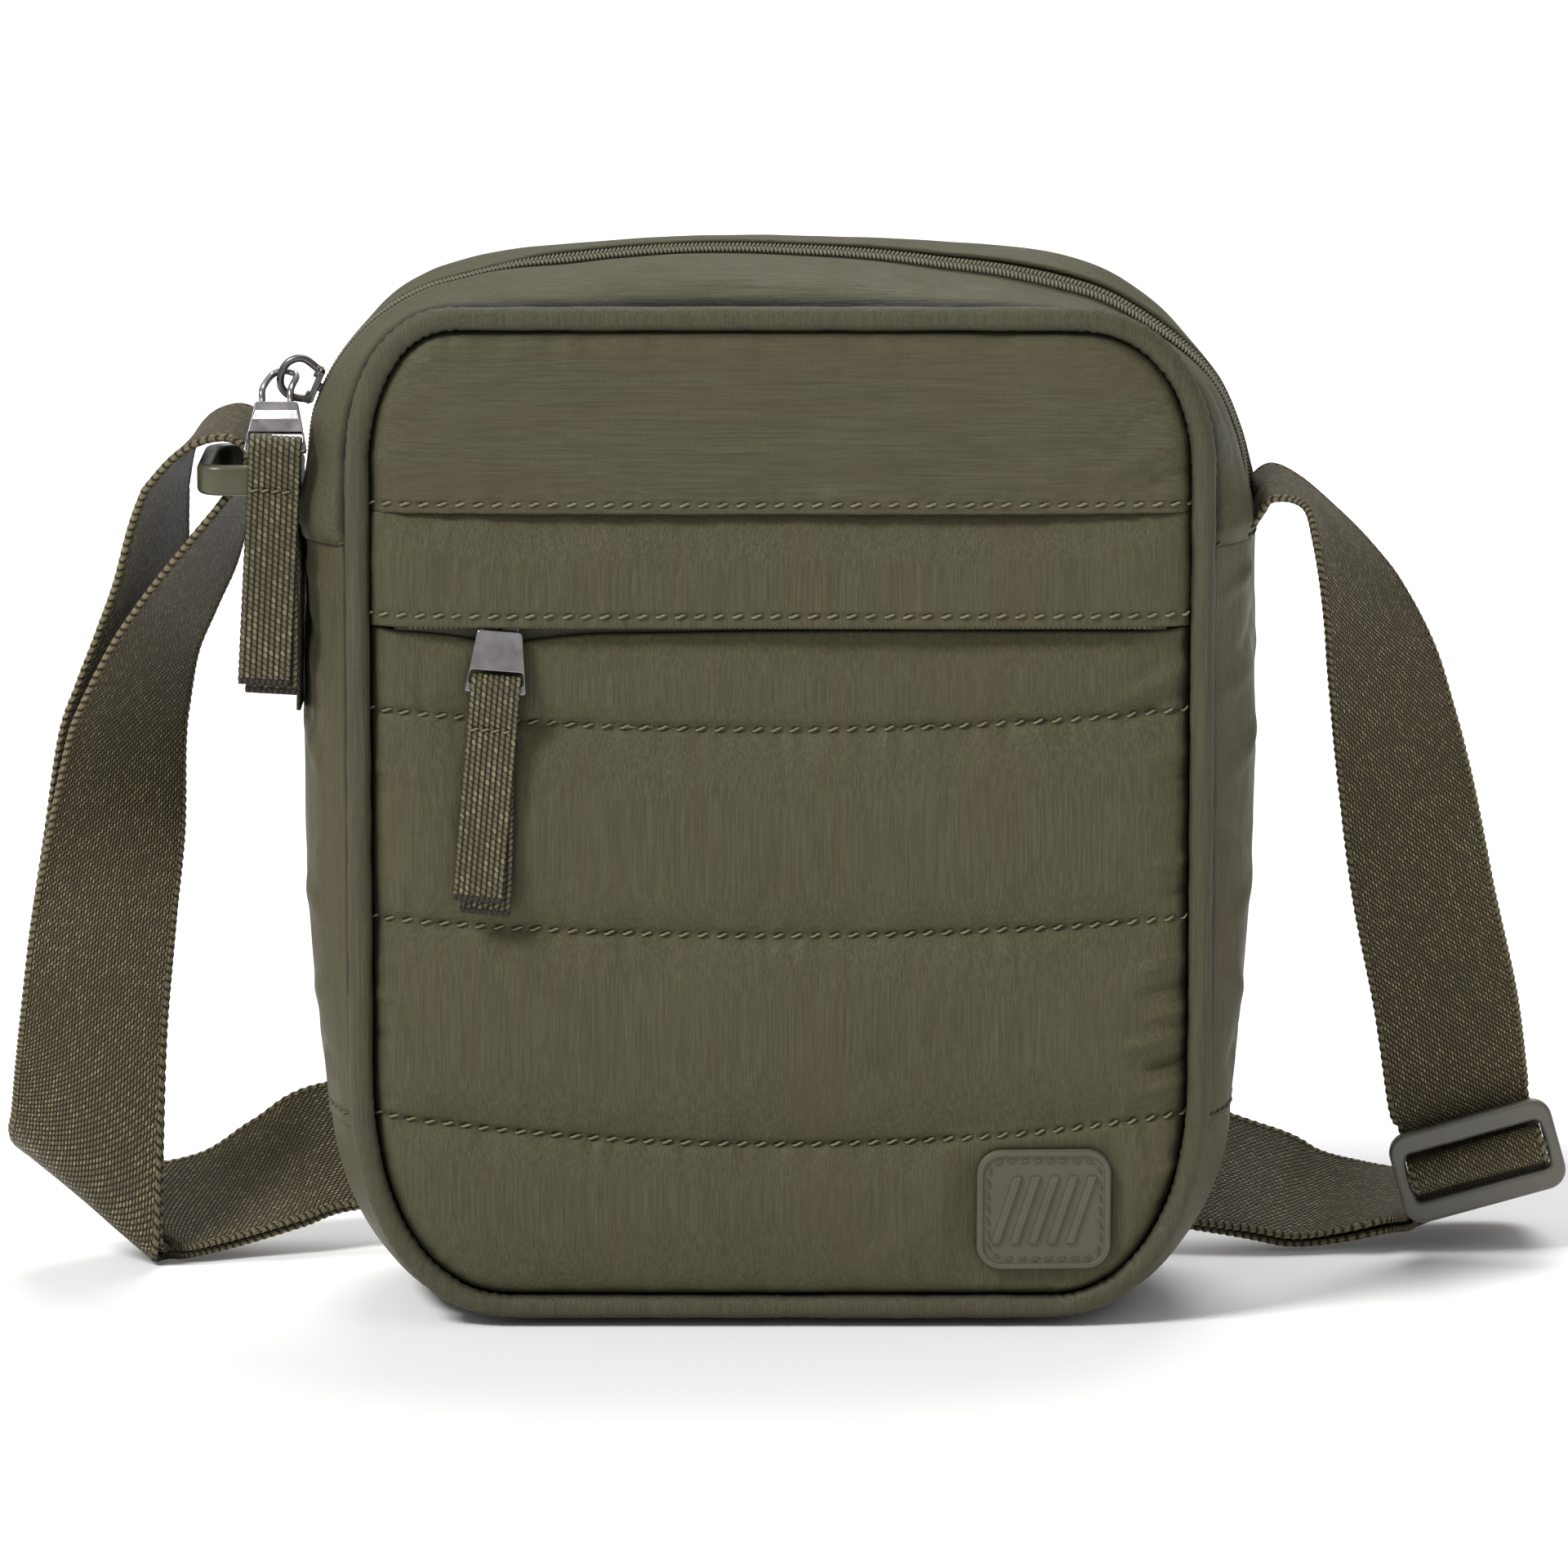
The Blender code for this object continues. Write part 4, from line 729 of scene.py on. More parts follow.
def spans(inset):
    """Left and right edge of the outline as functions of the height."""
    pts = outline(inset, 60)
    r, l = pts[pts[:, 0] > 0], pts[pts[:, 0] < 0]
    r, l = r[np.argsort(r[:, 1], kind="stable")], l[np.argsort(l[:, 1], kind="stable")]
    return lambda z: (np.interp(z, l[:, 1], l[:, 0]), np.interp(z, r[:, 1], r[:, 0]))


EDGE_PTS = resample(np.concatenate([outline(0.0, 40), outline(0.0, 40)[:1]]), 700)


def edge_info(x, z):
    """Distance inwards from the piping outline, and the place along it."""
    shape = np.shape(x)
    q = np.stack([np.ravel(x), np.ravel(z)], 1)
    best, where = np.full(len(q), 1e9), np.zeros(len(q))
    run = lengths(EDGE_PTS)
    a, b = EDGE_PTS[:-1], EDGE_PTS[1:]
    d = b - a
    dd = (d * d).sum(1)
    for k in range(0, len(a), 50):
        A, D, DD = a[k:k + 50], d[k:k + 50], dd[k:k + 50]
        t = np.clip(((q[:, None] - A[None]) * D[None]).sum(2) / DD, 0, 1)
        gap = np.linalg.norm(q[:, None] - A[None] - t[..., None] * D[None], axis=2)
        j = gap.argmin(1)
        g = gap[np.arange(len(q)), j]
        s = run[k:k + 50][j] + t[np.arange(len(q)), j] * np.sqrt(DD[j])
        hit = g < best
        best[hit], where[hit] = g[hit], s[hit]
    return best.reshape(shape), where.reshape(shape)


def crown(x, z, zc, hz, hw=90.0):
    return np.maximum(0, 1 - (x / hw) ** 2) * np.maximum(0, 1 - ((z - zc) / hz) ** 2)


def crease(x, z, a, b, width, depth):
    """A soft ridge (or, with a negative depth, a furrow) from a to b that fades at its ends."""
    a, b = np.array(a, float), np.array(b, float)
    d = b - a
    t = ((x - a[0]) * d[0] + (z - a[1]) * d[1]) / d.dot(d)
    tc = np.clip(t, 0, 1)
    gap = np.hypot(x - a[0] - tc * d[0], z - a[1] - tc * d[1])
    return depth * np.exp(-(gap / width) ** 2) * np.sin(math.pi * np.clip(tc * 0.92 + 0.04, 0, 1)) ** 0.7


def panel_grid(z0, z1, inset, dx=0.9, dz=0.8, power=1.0):
    n, m = int((z1 - z0) / dz) + 1, int(2 * (HALF_W - inset) / dx) + 1
    t = np.linspace(0, 1, n)
    if power != 1.0:
        t = t ** power if z0 < 60 else 1 - (1 - t) ** power
    z = z0 + (z1 - z0) * t
    a, b = spans(inset)(z)
    s = np.linspace(0, 1, m)
    s = 0.72 * s + 0.28 * (0.5 - 0.5 * np.cos(math.pi * s))
    X = a[:, None] + (b - a)[:, None] * s[None]
    return X, np.broadcast_to(z[:, None], X.shape).copy()


QUILT = ((133.8, 138.1), (88.5, 92.0), (41.8, 48.2))


def quilt_z(x, line):
    return line[0] + (line[1] - line[0]) * (np.abs(x) / 90.0) ** 2


def rim(d, s, at=4.9):
    """How the cloth turns down into the seam beside the piping."""
    g = np.maximum(d - at, 0.0)
    return 3.3 * np.exp(-g / 1.35), g


def y_pocket(x, z):
    base = -34.5 - 4.0 * crown(x, z, 78.0, 80.0)
    d, s = edge_info(x, z)
    down, g = rim(d, s)
    puff = np.full(np.shape(x), 1.0)
    stitched = np.zeros(np.shape(x))
    gather = np.zeros(np.shape(x))
    for k, line in enumerate(QUILT):
        q = quilt_z(x, line)
        away = np.abs(z - q)
        puff = puff * (1 - 0.98 * np.exp(-(away / 6.2) ** 1.15))
        stitched = stitched + np.exp(-(away / 0.6) ** 2) * (0.75 + 0.25 * np.cos(2 * math.pi * x / 4.1))
        side = np.where(z > q, 1.0, 2.0)
        gather = gather + np.exp(-away / 4.6) * (0.95 * noise2(x / 2.6, side * 7.0 + away / 16.0, 31 + k) + 0.55 * noise2(x / 6.5, side * 3.0, 41 + k)) * smooth(0.0, 1.4, away)
    top = np.maximum(154.0 - z, 0)
    puff = puff * (1 - 0.75 * np.exp(-top / 7.0)) * (1 - np.exp(-g / 6.5))
    gather = gather + np.exp(-g / 7.0) * smooth(0.2, 2.0, g) * (0.9 + 0.9 * smooth(20, 80, x)) * (0.70 * noise2(s / 3.0, g / 22.0, 51) + 0.55 * noise2(s / 7.5, 0.5, 52))
    soft = 0.75 * fbm(x / 34.0, z / 24.0, 61, 3) * (1 - np.exp(-g / 9.0))
    folds = (crease(x, z, (90, 152), (70, 139), 2.6, -0.8) + crease(x, z, (88, 66), (76, 64), 1.6, 0.7)
             + crease(x, z, (88, 60), (74, 59), 1.5, -0.7) + crease(x, z, (88, 54), (78, 53), 1.5, 0.6)
             + crease(x, z, (-84, 120), (-60, 104), 4.0, 0.4) + crease(x, z, (20, 14), (34, 26), 3.0, 0.5)
             + crease(x, z, (44, 12), (50, 20), 2.0, -0.5) + crease(x, z, (-40, 12), (-52, 24), 3.0, 0.5))
    # the cloth is drawn up along the right-hand seam and under the patch
    for xa, za, xb, zb, wd, dp in ((92, 149, 72, 140, 1.7, 1.0), (92, 143, 76, 137, 1.4, -0.8), (92, 130, 79, 127, 1.3, 0.8), (92, 124, 82, 122, 1.1, -0.6), (92, 117, 80, 116, 1.3, 0.6),
                                   (92, 106, 80, 104, 1.3, 0.7), (92, 99, 83, 97, 1.1, -0.6), (92, 84, 76, 80, 1.5, 0.9), (92, 78, 78, 75, 1.2, -0.8), (92, 73, 80, 70, 1.1, 0.8),
                                   (92, 67, 74, 63, 1.3, 1.0), (92, 62, 79, 58, 1.1, -0.9), (92, 57, 81, 54, 1.0, 0.8), (92, 37, 83, 36, 1.2, 0.7), (91, 30, 82, 27, 1.2, -0.6),
                                   (43, 8, 44, 14, 1.0, 0.8), (48, 8, 51, 13, 1.0, -0.7), (61, 8, 64, 14, 1.2, 0.7), (70, 9, 74, 15, 1.2, -0.6), (30, 8, 27, 17, 1.4, 0.6),
                                   (-92, 127, -80, 122, 1.3, 0.5), (-92, 76, -82, 73, 1.3, 0.5), (-92, 66, -83, 65, 1.1, -0.4)):
        folds = folds + crease(x, z, (xa, za), (xb, zb), wd, 1.55 * dp)
    # the patch is sewn down flat
    r = np.maximum(np.abs(x - 57.8) / 17.0, np.abs(z - 27.3) / 16.0)
    flat_here = 1 - smooth(0.9, 1.35, r)
    raised = (3.3 * puff + 0.5 * gather + soft + folds) * (1 - flat_here) + 1.05 * flat_here
    y = base + 1.15 - raised + stitched + down
    pressed = np.exp(-((x + 62.0) / 9.5) ** 4 - ((z - 143.6) / 7.5) ** 4)
    return y + pressed * np.maximum(-35.55 - y, 0.0)


def y_band(x, z):
    base = (-37.7 - 0.9 * (1 - (x / 90.0) ** 4) * np.maximum(0, (172.0 - z) / 15.5)
            + 3.2 * np.maximum(np.maximum(0, (z - 171.0) / 10.0), (np.abs(x) / 90.0) ** 8))
    d, s = edge_info(x, z)
    down, g = rim(d, s)
    lower = np.abs(z - 159.2)
    stitched = np.exp(-(lower / 0.6) ** 2) * (0.6 + 0.2 * np.cos(2 * math.pi * x / 4.1))
    gather = np.exp(-lower / 3.8) * 0.42 * noise2(x / 2.9, np.where(z > 159.2, 1.0, 4.0), 71) * smooth(0.2, 1.2, lower)
    gather = gather + np.exp(-g / 5.0) * 0.35 * noise2(s / 3.6, 0.5, 72) + np.exp(-(np.maximum(180.5 - z, 0)) / 4.0) * 0.25 * noise2(x / 4.2, 0.5, 73)
    bulge = 0.9 * np.sin(math.pi * np.clip((z - 157.0) / 24.0, 0, 1)) * (1 - np.exp(-g / 7.0))
    return base + stitched * 0.8 - gather - bulge - 0.35 * fbm(x / 26.0, z / 15.0, 74) + down * 0.8


def y_top(x, z):
    base = -34.6 - 1.6 * crown(x, z, 200.0, 30.0)
    d, s = edge_info(x, z)
    down, g = rim(d, s)
    row = np.abs(z - 183.4)
    stitched = np.exp(-(row / 0.6) ** 2) * (0.6 + 0.2 * np.cos(2 * math.pi * x / 4.1))
    gather = np.exp(-row / 3.6) * 0.42 * noise2(x / 2.9, np.where(z > 183.4, 1.0, 4.0), 81) * smooth(0.2, 1.2, row)
    gather = gather + np.exp(-g / 7.0) * smooth(0, 1.5, g) * (0.40 * noise2(s / 3.8, g / 20, 82) + 0.3 * noise2(s / 9.0, 0.5, 83))
    bulge = 1.1 * (1 - np.exp(-g / 9.0)) + 0.55 * np.exp(-np.maximum(z - 181.2, 0) / 7.0) * (1 - (np.abs(x) / 92.0) ** 6)
    folds = (crease(x, z, (91, 199), (68, 188), 2.0, 1.0) + crease(x, z, (91, 192), (76, 186), 1.4, -0.8) + crease(x, z, (90, 206), (72, 199), 2.2, -0.6)
             + crease(x, z, (91, 187), (80, 184), 1.1, 0.6) + crease(x, z, (-91, 195), (-80, 190), 1.6, 0.4))
    return base + stitched * 0.8 - gather - bulge - folds - 0.4 * fbm(x / 30.0, z / 16.0, 84) + down


def panel_piece(name, X, Z, y, material, curl_low=0.0, curl_top=0.0):
    """The panel's surface, with its free edges turned in over a small radius."""
    Y = y(X, Z)
    rows = [np.stack([X, Y, Z], -1)]
    if curl_low:
        for a in (35, 70, 105, 140):
            t = math.radians(a)
            r = curl_low
            rows.insert(0, np.stack([X[0], Y[0] + r * (1 - math.cos(t)), Z[0] - r * math.sin(t)], -1)[None])
        rows = rows[:-1] + [rows[-1]]
    if curl_top:
        for a in (35, 70, 105, 140):
            t = math.radians(a)
            r = curl_top
            rows.append(np.stack([X[-1], Y[-1] + r * (1 - math.cos(t)), Z[-1] + r * math.sin(t)], -1)[None])
    P = np.concatenate(rows, 0)
    return grid(name, P, material, thickness=0.7)


def seam_uv(P, both=False):
    """UVs for a gusset: the distance from the nearest piping seam, and the place along it."""
    d = np.concatenate([np.zeros((len(P), 1)), np.cumsum(np.linalg.norm(np.diff(P, axis=1), axis=2), axis=1)], 1)
    if both:
        d = np.minimum(d, d[:, -1:] - d)
    run = lengths(P[:, P.shape[1] // 2])
    return np.stack([d, np.broadcast_to(run[:, None], d.shape)], -1)


def done(ob, body, slot, *nodes):
    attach(ob, body)
    if nodes:
        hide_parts(*nodes)
    return ob


X, Z = panel_grid(Z_LOW + 5.1, 154.6, 4.9, power=1.35)
# the pocket's mouth sags a little beside its slider
Z = Z + 1.0 * smooth(82.0, 90.0, np.abs(X)) * smooth(146.0, 154.6, Z)
Z = Z - smooth(120.0, 154.6, Z) * (2.3 * np.exp(-((X + 60.0) / 13.0) ** 2) + 0.5 * np.exp(-((X + 34.0) / 22.0) ** 2))
pocket = done(panel_piece("pocket_panel_shell", X, Z, y_pocket, NYLON_V, curl_top=0.9), "bag", "shell", "pocket_front_panel")
X, Z = panel_grid(Z_LOW + 9.0, 146.0, 8.5, dx=2.0, dz=1.6, power=1.35)
wadding = grid("pocket_wadding_quilted", np.stack([X, y_pocket(X, Z) + 1.1, Z], -1), WADDING, thickness=1.6)
wadding = done(wadding, "bag", "wadding", "pocket_wadding")
X, Z = panel_grid(FLAP_Z + 0.7, 181.6, 4.9, dz=0.6)
band = done(panel_piece("flap_band_shell", X, Z, y_band, NYLON_V, curl_low=0.75), "bag", "shell", "front_middle_panel")
X, Z = panel_grid(FOLD_Z + 0.8, Z_HIGH - 5.1, 4.9, dz=0.6, power=1.35)
top_panel = done(panel_piece("top_panel_shell", X, Z, y_top, NYLON_H, curl_low=0.75), "bag", "shell", "front_top_panel")


def y_back(x, z):
    d, s = edge_info(x, z)
    down, g = rim(d, s)
    base = 34.6 + 1.4 * crown(x, z, 114.0, 112.0)
    gather = np.exp(-g / 7.0) * smooth(0, 1.5, g) * (0.45 * noise2(s / 3.8, g / 20, 92) + 0.35 * noise2(s / 9.0, 0.5, 93))
    return base + 1.0 * (1 - np.exp(-g / 12.0)) + gather + 0.7 * fbm(x / 42.0, z / 48.0, 94) - down


X, Z = panel_grid(Z_LOW + 5.1, Z_HIGH - 5.1, 4.9, dx=1.2, dz=1.1)
P = np.stack([X, y_back(X, Z), Z], -1)
back = done(grid("back_panel_shell", P[:, ::-1], NYLON_V, thickness=0.7), "bag", "shell", "back_panel")


# ---------------------------------------------------------------- piping
def piping(name, y, node):
    path = resample(np.concatenate([outline(PIPE_R, 60), outline(PIPE_R, 60)[:1]]), 620)[:-1]
    s = np.arange(len(path)) * 1.25
    T = unit(np.roll(path, -1, 0) - np.roll(path, 1, 0))
    N = np.stack([T[:, 1], -T[:, 0]], 1)
    a = np.linspace(0, 2 * math.pi, 20, endpoint=False)
    bend = np.abs(np.cross(np.roll(T, -3, 0), np.roll(T, 3, 0)))
    r = PIPE_R + 0.10 * noise2(s / 7.0, 0.0, 101)[:, None] + 0.06 * noise2(s / 2.2, 0.3, 102)[:, None]
    # small gathers where the fabric goes round a corner
    r = r + (0.16 * np.clip(bend * 6, 0, 1) * np.sin(s * 2.3 + 2 * noise2(s / 9, 0, 103)))[:, None]
    prof = 1.0 + 0.05 * np.cos(2 * a)[None]
    seam = np.exp(-((path[:, 0] / 0.7) ** 2)) * (path[:, 1] < 60)
    r = r * prof + 0.22 * seam[:, None] - 0.18 * (np.exp(-(((path[:, 0] - 1.3) / 0.5) ** 2)) * (path[:, 1] < 60))[:, None]
    fwd, out = r * np.sin(a)[None], r * np.cos(a)[None]
    P = np.stack([path[:, 0, None] + N[:, 0, None] * out, y + np.sign(y) * fwd, path[:, 1, None] + N[:, 1, None] * out], -1)
    return done(grid(name, P, NYLON_PIPE, wrap_i=True, wrap_j=True, flip=y > 0), "bag", "piping", node)


piping("front_piping_cover", -PIPE_Y, "front_piping")
piping("back_piping_cover", PIPE_Y, "back_piping")

# ---------------------------------------------------------------- gussets
ARC_C, ARC_R, ARC_FROM, ARC_TO = (-62.3, 188.5), 40.8, 168.0, 104.0
ARCH_C, ARCH_R, SLIDER_DEG, SLIT = (-7.2, -30.1), 266.5, 156.9, 0.6


def crest_curve():
    pts = [(-103.6, SEAM_Z), (-103.3, 184.0)]
    for i in range(9):
        a = math.radians(ARC_FROM + (ARC_TO - ARC_FROM) * i / 8)
        pts.append((ARC_C[0] + ARC_R * math.cos(a), ARC_C[1] + ARC_R * math.sin(a)))
    for x in (-55, -30, -7, 18, 40):
        pts.append((x, ARCH_C[1] + math.sqrt(ARCH_R ** 2 - (x - ARCH_C[0]) ** 2)))
    pts += [(60.0, 227.6), (74.0, 223.4), (86.0, 217.0), (95.5, 207.5), (100.8, 196.0), (103.0, 185.0), (103.2, SEAM_Z)]
    return np.array(pts, float)


def edge_over_top(inset):
    pts = outline(inset, 40)
    top = pts[pts[:, 1] > SEAM_Z + 1]
    w = HALF_W - inset
    return np.concatenate([[(w, SEAM_Z)], top, [(-w, SEAM_Z)]])[::-1]


N_TOP = 300
CREST = resample(catmull(crest_curve(), 8), N_TOP)
EDGE = resample(edge_over_top(1.4), N_TOP)


def normals_of(line):
    t = unit(np.gradient(line, axis=0))
    return np.stack([-t[:, 1], t[:, 0]], 1)


CREST_N = normals_of(CREST)
for _ in range(6):
    CREST_N = unit(np.concatenate([CREST_N[:1], (CREST_N[:-2] + 2 * CREST_N[1:-1] + CREST_N[2:]) / 4, CREST_N[-1:]]))


# how far the zip and the cloth behind it stand off the crest line, along it
ZIP_OFF = ((-110, 0.45), (-85, 0.45), (-56, 0.45), (-45, -0.1), (-20, -0.5), (4, -0.9), (36, -0.6), (48, 0.3),
           (58, 0.7), (68, 0.7), (74, 0.2), (79, -0.5), (84, -0.9), (104, -0.6))
CROWN_OFF = ((-104, 0.3), (-102, -0.4), (-98, -0.9), (-95, -0.6), (-91, 0.2), (-87, 1.3), (-82.5, 2.0), (-77.5, 2.4), (-72, 2.8), (-67, 3.0), (-62, 2.8),
             (-56, 2.4), (-51, 1.9), (-45, 1.5), (-40, 1.1), (-34.5, 0.8), (-23, 0.4), (-12, 0.2), (4, 0.4), (15, 0.8), (26, 1.6), (37, 2.7),
             (47.5, 4.2), (53, 5.0), (58, 5.5), (63.5, 5.5), (69, 5.1), (74, 4.3), (79, 3.2), (84, 2.0), (88, 0.8), (92, -0.2), (96, -1.0), (103.2, -0.5))
zip_off = np.interp(CREST[:, 0], *zip(*ZIP_OFF))
crown_off = np.interp(CREST[:, 0], *zip(*CROWN_OFF))
for _ in range(8):
    for arr in (zip_off, crown_off):
        arr[1:-1] = (arr[:-2] + 2 * arr[1:-1] + arr[2:]) / 4
LEAN = (0.18 + 0.055 * np.clip(crown_off - zip_off, 0, 5)) * smooth(-66, -46, CREST[:, 0])


def zip_line(y, up):
    """The crest line moved to the zip's plane, which leans towards the front, at a given depth and height."""
    return CREST + CREST_N * (zip_off - 0.45 + LEAN * (y - ZIP_Y) + up)[:, None]


def top_gusset(name, y_edge, y_zip, node, seed, cols=34):
    sgn = 1.0 if y_zip > y_edge else -1.0
    t = np.linspace(0, 1, cols)
    rise = np.sin(t * math.pi / 2) ** 0.9
    top = zip_line(y_zip, 0.75 if sgn > 0 else 0.95)
    s = lengths(CREST)
    Pxz = EDGE[:, None] + (top - EDGE)[:, None] * rise[None, :, None]
    y = np.broadcast_to(y_edge + (y_zip - y_edge) * t[None], Pxz.shape[:2]).copy()
    lift = (0.55 * np.exp(-t[None] / 0.16) * noise2(s[:, None] / 4.6, t[None] * 1.3, seed)
            + 0.45 * fbm(s[:, None] / 30.0, t[None] * 2.2, seed + 1)
            + 0.25 * np.exp(-(1 - t[None]) / 0.12) * noise2(s[:, None] / 9.0, 0.0, seed + 2)) * np.sin(math.pi * np.clip(t[None] * 0.98 + 0.01, 0, 1)) ** 0.35
    # near the seam the cloth stands up beside the piping before it turns over
    lift = lift + 0.9 * np.sin(math.pi * np.clip(t[None] * 2.0, 0, 1)) * 0.6
    # a shallow line where the hem under the cloth ends, 5 mm from the fold
    lift = lift - 0.16 * np.exp(-(((1 - t[None]) * abs(y_zip - y_edge) - 5.0) / 0.5) ** 2)
    if sgn < 0:
        # the cloth behind the zip stands highest 15 mm behind it
        k = int(np.argmin(np.abs(y[0] - 9.0)))
        stand = crown_off - ((Pxz[:, k] - CREST) * CREST_N).sum(1)
        lift = lift * 0.7 + stand[:, None] * np.exp(-((y - 9.0) / np.where(y > 9.0, 12.0, 8.0)) ** 2) * np.clip(t[None] * 3.0, 0, 1)
    # thick layers of seam at the tab
    s_end = s[:, None]
    lift = lift + (1.6 * np.exp(-(s_end / 9.0) ** 2) + 2.1 * np.exp(-((s_end[-1] - s_end) / 8.0) ** 2)) * np.sin(math.pi * np.clip(t[None] * 0.62, 0, 1)) ** 0.7
    Pxz = Pxz + CREST_N[:, None] * lift[..., None]
    for a in (30, 60, 90, 125, 160):
        q = math.radians(a)
        Pxz = np.concatenate([Pxz, (Pxz[:, cols - 1] - CREST_N * 0.75 * (1 - math.cos(q)))[:, None]], 1)
        y = np.concatenate([y, (y[:, cols - 1] + sgn * 0.75 * math.sin(q))[:, None]], 1)
    P = np.stack([Pxz[..., 0], y, Pxz[..., 1]], -1)
    # both ends run on under the side gussets
    def under(row, way):
        e = row.copy()
        e[:, 0] -= way * 1.1
        e[:, 2] -= 3.4
        mid = (row + e) / 2
        mid[:, 2] = row[:, 2] - 1.2
        mid[:, 0] = row[:, 0] - way * 0.75
        return np.stack([e, mid])
    P = np.concatenate([under(P[0], -1), P, under(P[-1], 1)[::-1]])
    return done(grid(name, P, NYLON_TOP, uv=seam_uv(P), flip=sgn > 0, thickness=0.7), "bag", "shell", node)


top_gusset("top_gusset_front_shell", -31.0, ZIP_Y - 4.3, "top_gusset_front", 111)
top_gusset("top_gusset_back_shell", 31.0, ZIP_Y + 4.3, "top_gusset_back", 121, 44)


def side_x(z):
    t = (z - 112.0) / 68.0
    return 105.0 - 1.6 * t * t - 3.2 * np.maximum(0.0, -t) ** 2.2


def side_surface(sign, z, v, seed):
    a, b = spans(1.4)(z)
    x = b + (side_x(z) - b) * (1 - np.abs(v) ** 2.3)
    hem = 0.75 * np.exp(-np.maximum(SEAM_Z - z, 0) / 6.0) + 0.5 * np.exp(-np.maximum(z - SEAM_LOW_Z, 0) / 5.0)
    hem = hem * (1 - np.abs(v) ** 6)
    body = np.sin(math.pi * np.clip((v + 1) / 2, 0, 1)) ** 0.6
    wave = (0.9 * noise2(v * 2.6 + 0.3, z / 46.0, seed) + 0.55 * noise2(v * 5.0, z / 26.0, seed + 1) + 0.3 * noise2(v * 7.0 + z / 40.0, z / 15.0, seed + 2)) * body
    gather = np.exp(-(1 - np.abs(v)) / 0.10) * 0.35 * noise2(z / 4.5, v * 1.5, seed + 3) * (1 - np.abs(v) ** 12)
    stitched = (np.exp(-((z - 173.6) / 0.55) ** 2) + np.exp(-((z - 46.4) / 0.55) ** 2)) * 0.35
    if sign < 0:
        hem = hem + 1.5 * np.exp(-np.maximum(SEAM_Z - z, 0) / 7.0) * (1 - np.abs(v) ** 4)
    else:
        hem = hem + 0.9 * np.exp(-np.maximum(SEAM_Z - z, 0) / 7.0) * (1 - np.abs(v) ** 4)
    slack = 0.0
    for zc, v0, tilt_, wd, dp in ((164, -0.6, 9, 2.0, 0.7), (152, -0.4, 14, 2.6, -0.6), (141, -0.7, 10, 2.4, 0.6), (126, -0.5, 16, 3.2, 0.7), (108, -0.6, -12, 3.0, -0.6),
                                  (92, -0.5, 12, 3.4, 0.6), (74, -0.6, -10, 2.8, 0.6), (60, -0.4, 12, 2.4, -0.6), (118, 0.5, -14, 3.0, 0.6), (82, 0.5, 12, 3.0, -0.6), (150, 0.5, 10, 2.6, 0.6)):
        slack = slack + dp * np.exp(-((z - zc - tilt_ * (v - v0)) / wd) ** 2) * np.exp(-((v - v0) / 0.33) ** 2)
    return x + hem + wave * 0.8 + gather * 1.3 + 1.5 * slack * body - stitched


def side_gusset(name, sign, node, seed):
    z = np.concatenate([np.linspace(SEAM_LOW_Z + 0.4, 52, 16), np.linspace(53, 166, 120), np.linspace(167, SEAM_Z + 0.3, 18)])
    v = np.linspace(-1.0, 1.0, 76)
    V, ZZ = np.meshgrid(v, z)
    x = side_surface(sign, ZZ, V, seed)
    P = np.stack([sign * x, 30.9 * V, ZZ], -1)
    # the two hems are folded in
    def fold(row, way):
        out = []
        for a in (35, 70, 105, 140):
            q = math.radians(a)
            e = row.copy()
            e[:, 0] -= sign * 0.6 * (1 - math.cos(q))
            e[:, 2] += way * 0.6 * math.sin(q)
            out.append(e)
        return np.stack(out)
    P = np.concatenate([fold(P[0], -1)[::-1], P, fold(P[-1], 1)])
    return done(grid(name, P, NYLON_SIDE, uv=seam_uv(P, True), flip=sign < 0, thickness=0.7), "bag", "shell", node)


side_gusset("side_gusset_right_shell", 1, "side_gusset_right", 131)
side_gusset("side_gusset_left_shell", -1, "side_gusset_left", 141)


def bottom_piece():
    inset = 1.4
    pts = outline(inset, 60)
    low = pts[pts[:, 1] < SEAM_LOW_Z + 2.2]
    low = low[np.argsort(np.arctan2(low[:, 0], -(low[:, 1] - 60.0)))]
    z = SEAM_LOW_Z + 2.2
    a, b = spans(inset)(z)
    edge = resample(np.concatenate([[(a, z)], low, [(b, z)]]), 190)
    t = unit(np.gradient(edge, axis=0))
    nrm = np.stack([t[:, 1], -t[:, 0]], 1)
    side = np.abs(nrm[:, 0])
    stand = 8.2 * side ** 2 + 5.5 * (1 - side ** 2)
    v = np.linspace(-1, 1, 60)
    s = lengths(edge)
    bulge = stand[:, None] * (1 - np.abs(v[None]) ** 2.3)
    tucked = np.exp(-np.minimum(s, s[-1] - s) / 4.0)[:, None] * 0.55
    wave = 0.5 * noise2(s[:, None] / 16.0, v[None] * 2.2, 151) * (1 - v[None] ** 4) * smooth(6, 18, edge[:, 1])[:, None]
    wave = wave + np.exp(-(1 - np.abs(v[None])) / 0.10) * 0.25 * noise2(s[:, None] / 4.0, v[None], 152) * (1 - np.abs(v[None]) ** 12)
    q = edge[:, None] + nrm[:, None] * (bulge + wave - tucked)[..., None]
    P = np.stack([q[..., 0], np.broadcast_to(30.9 * v[None], q.shape[:2]), np.maximum(q[..., 1], 0.0)], -1)
    return done(grid("bottom_gusset_shell", P, NYLON_SIDE, uv=seam_uv(P, True), thickness=0.7), "bag", "shell", "bottom_gusset")


bottom_piece()

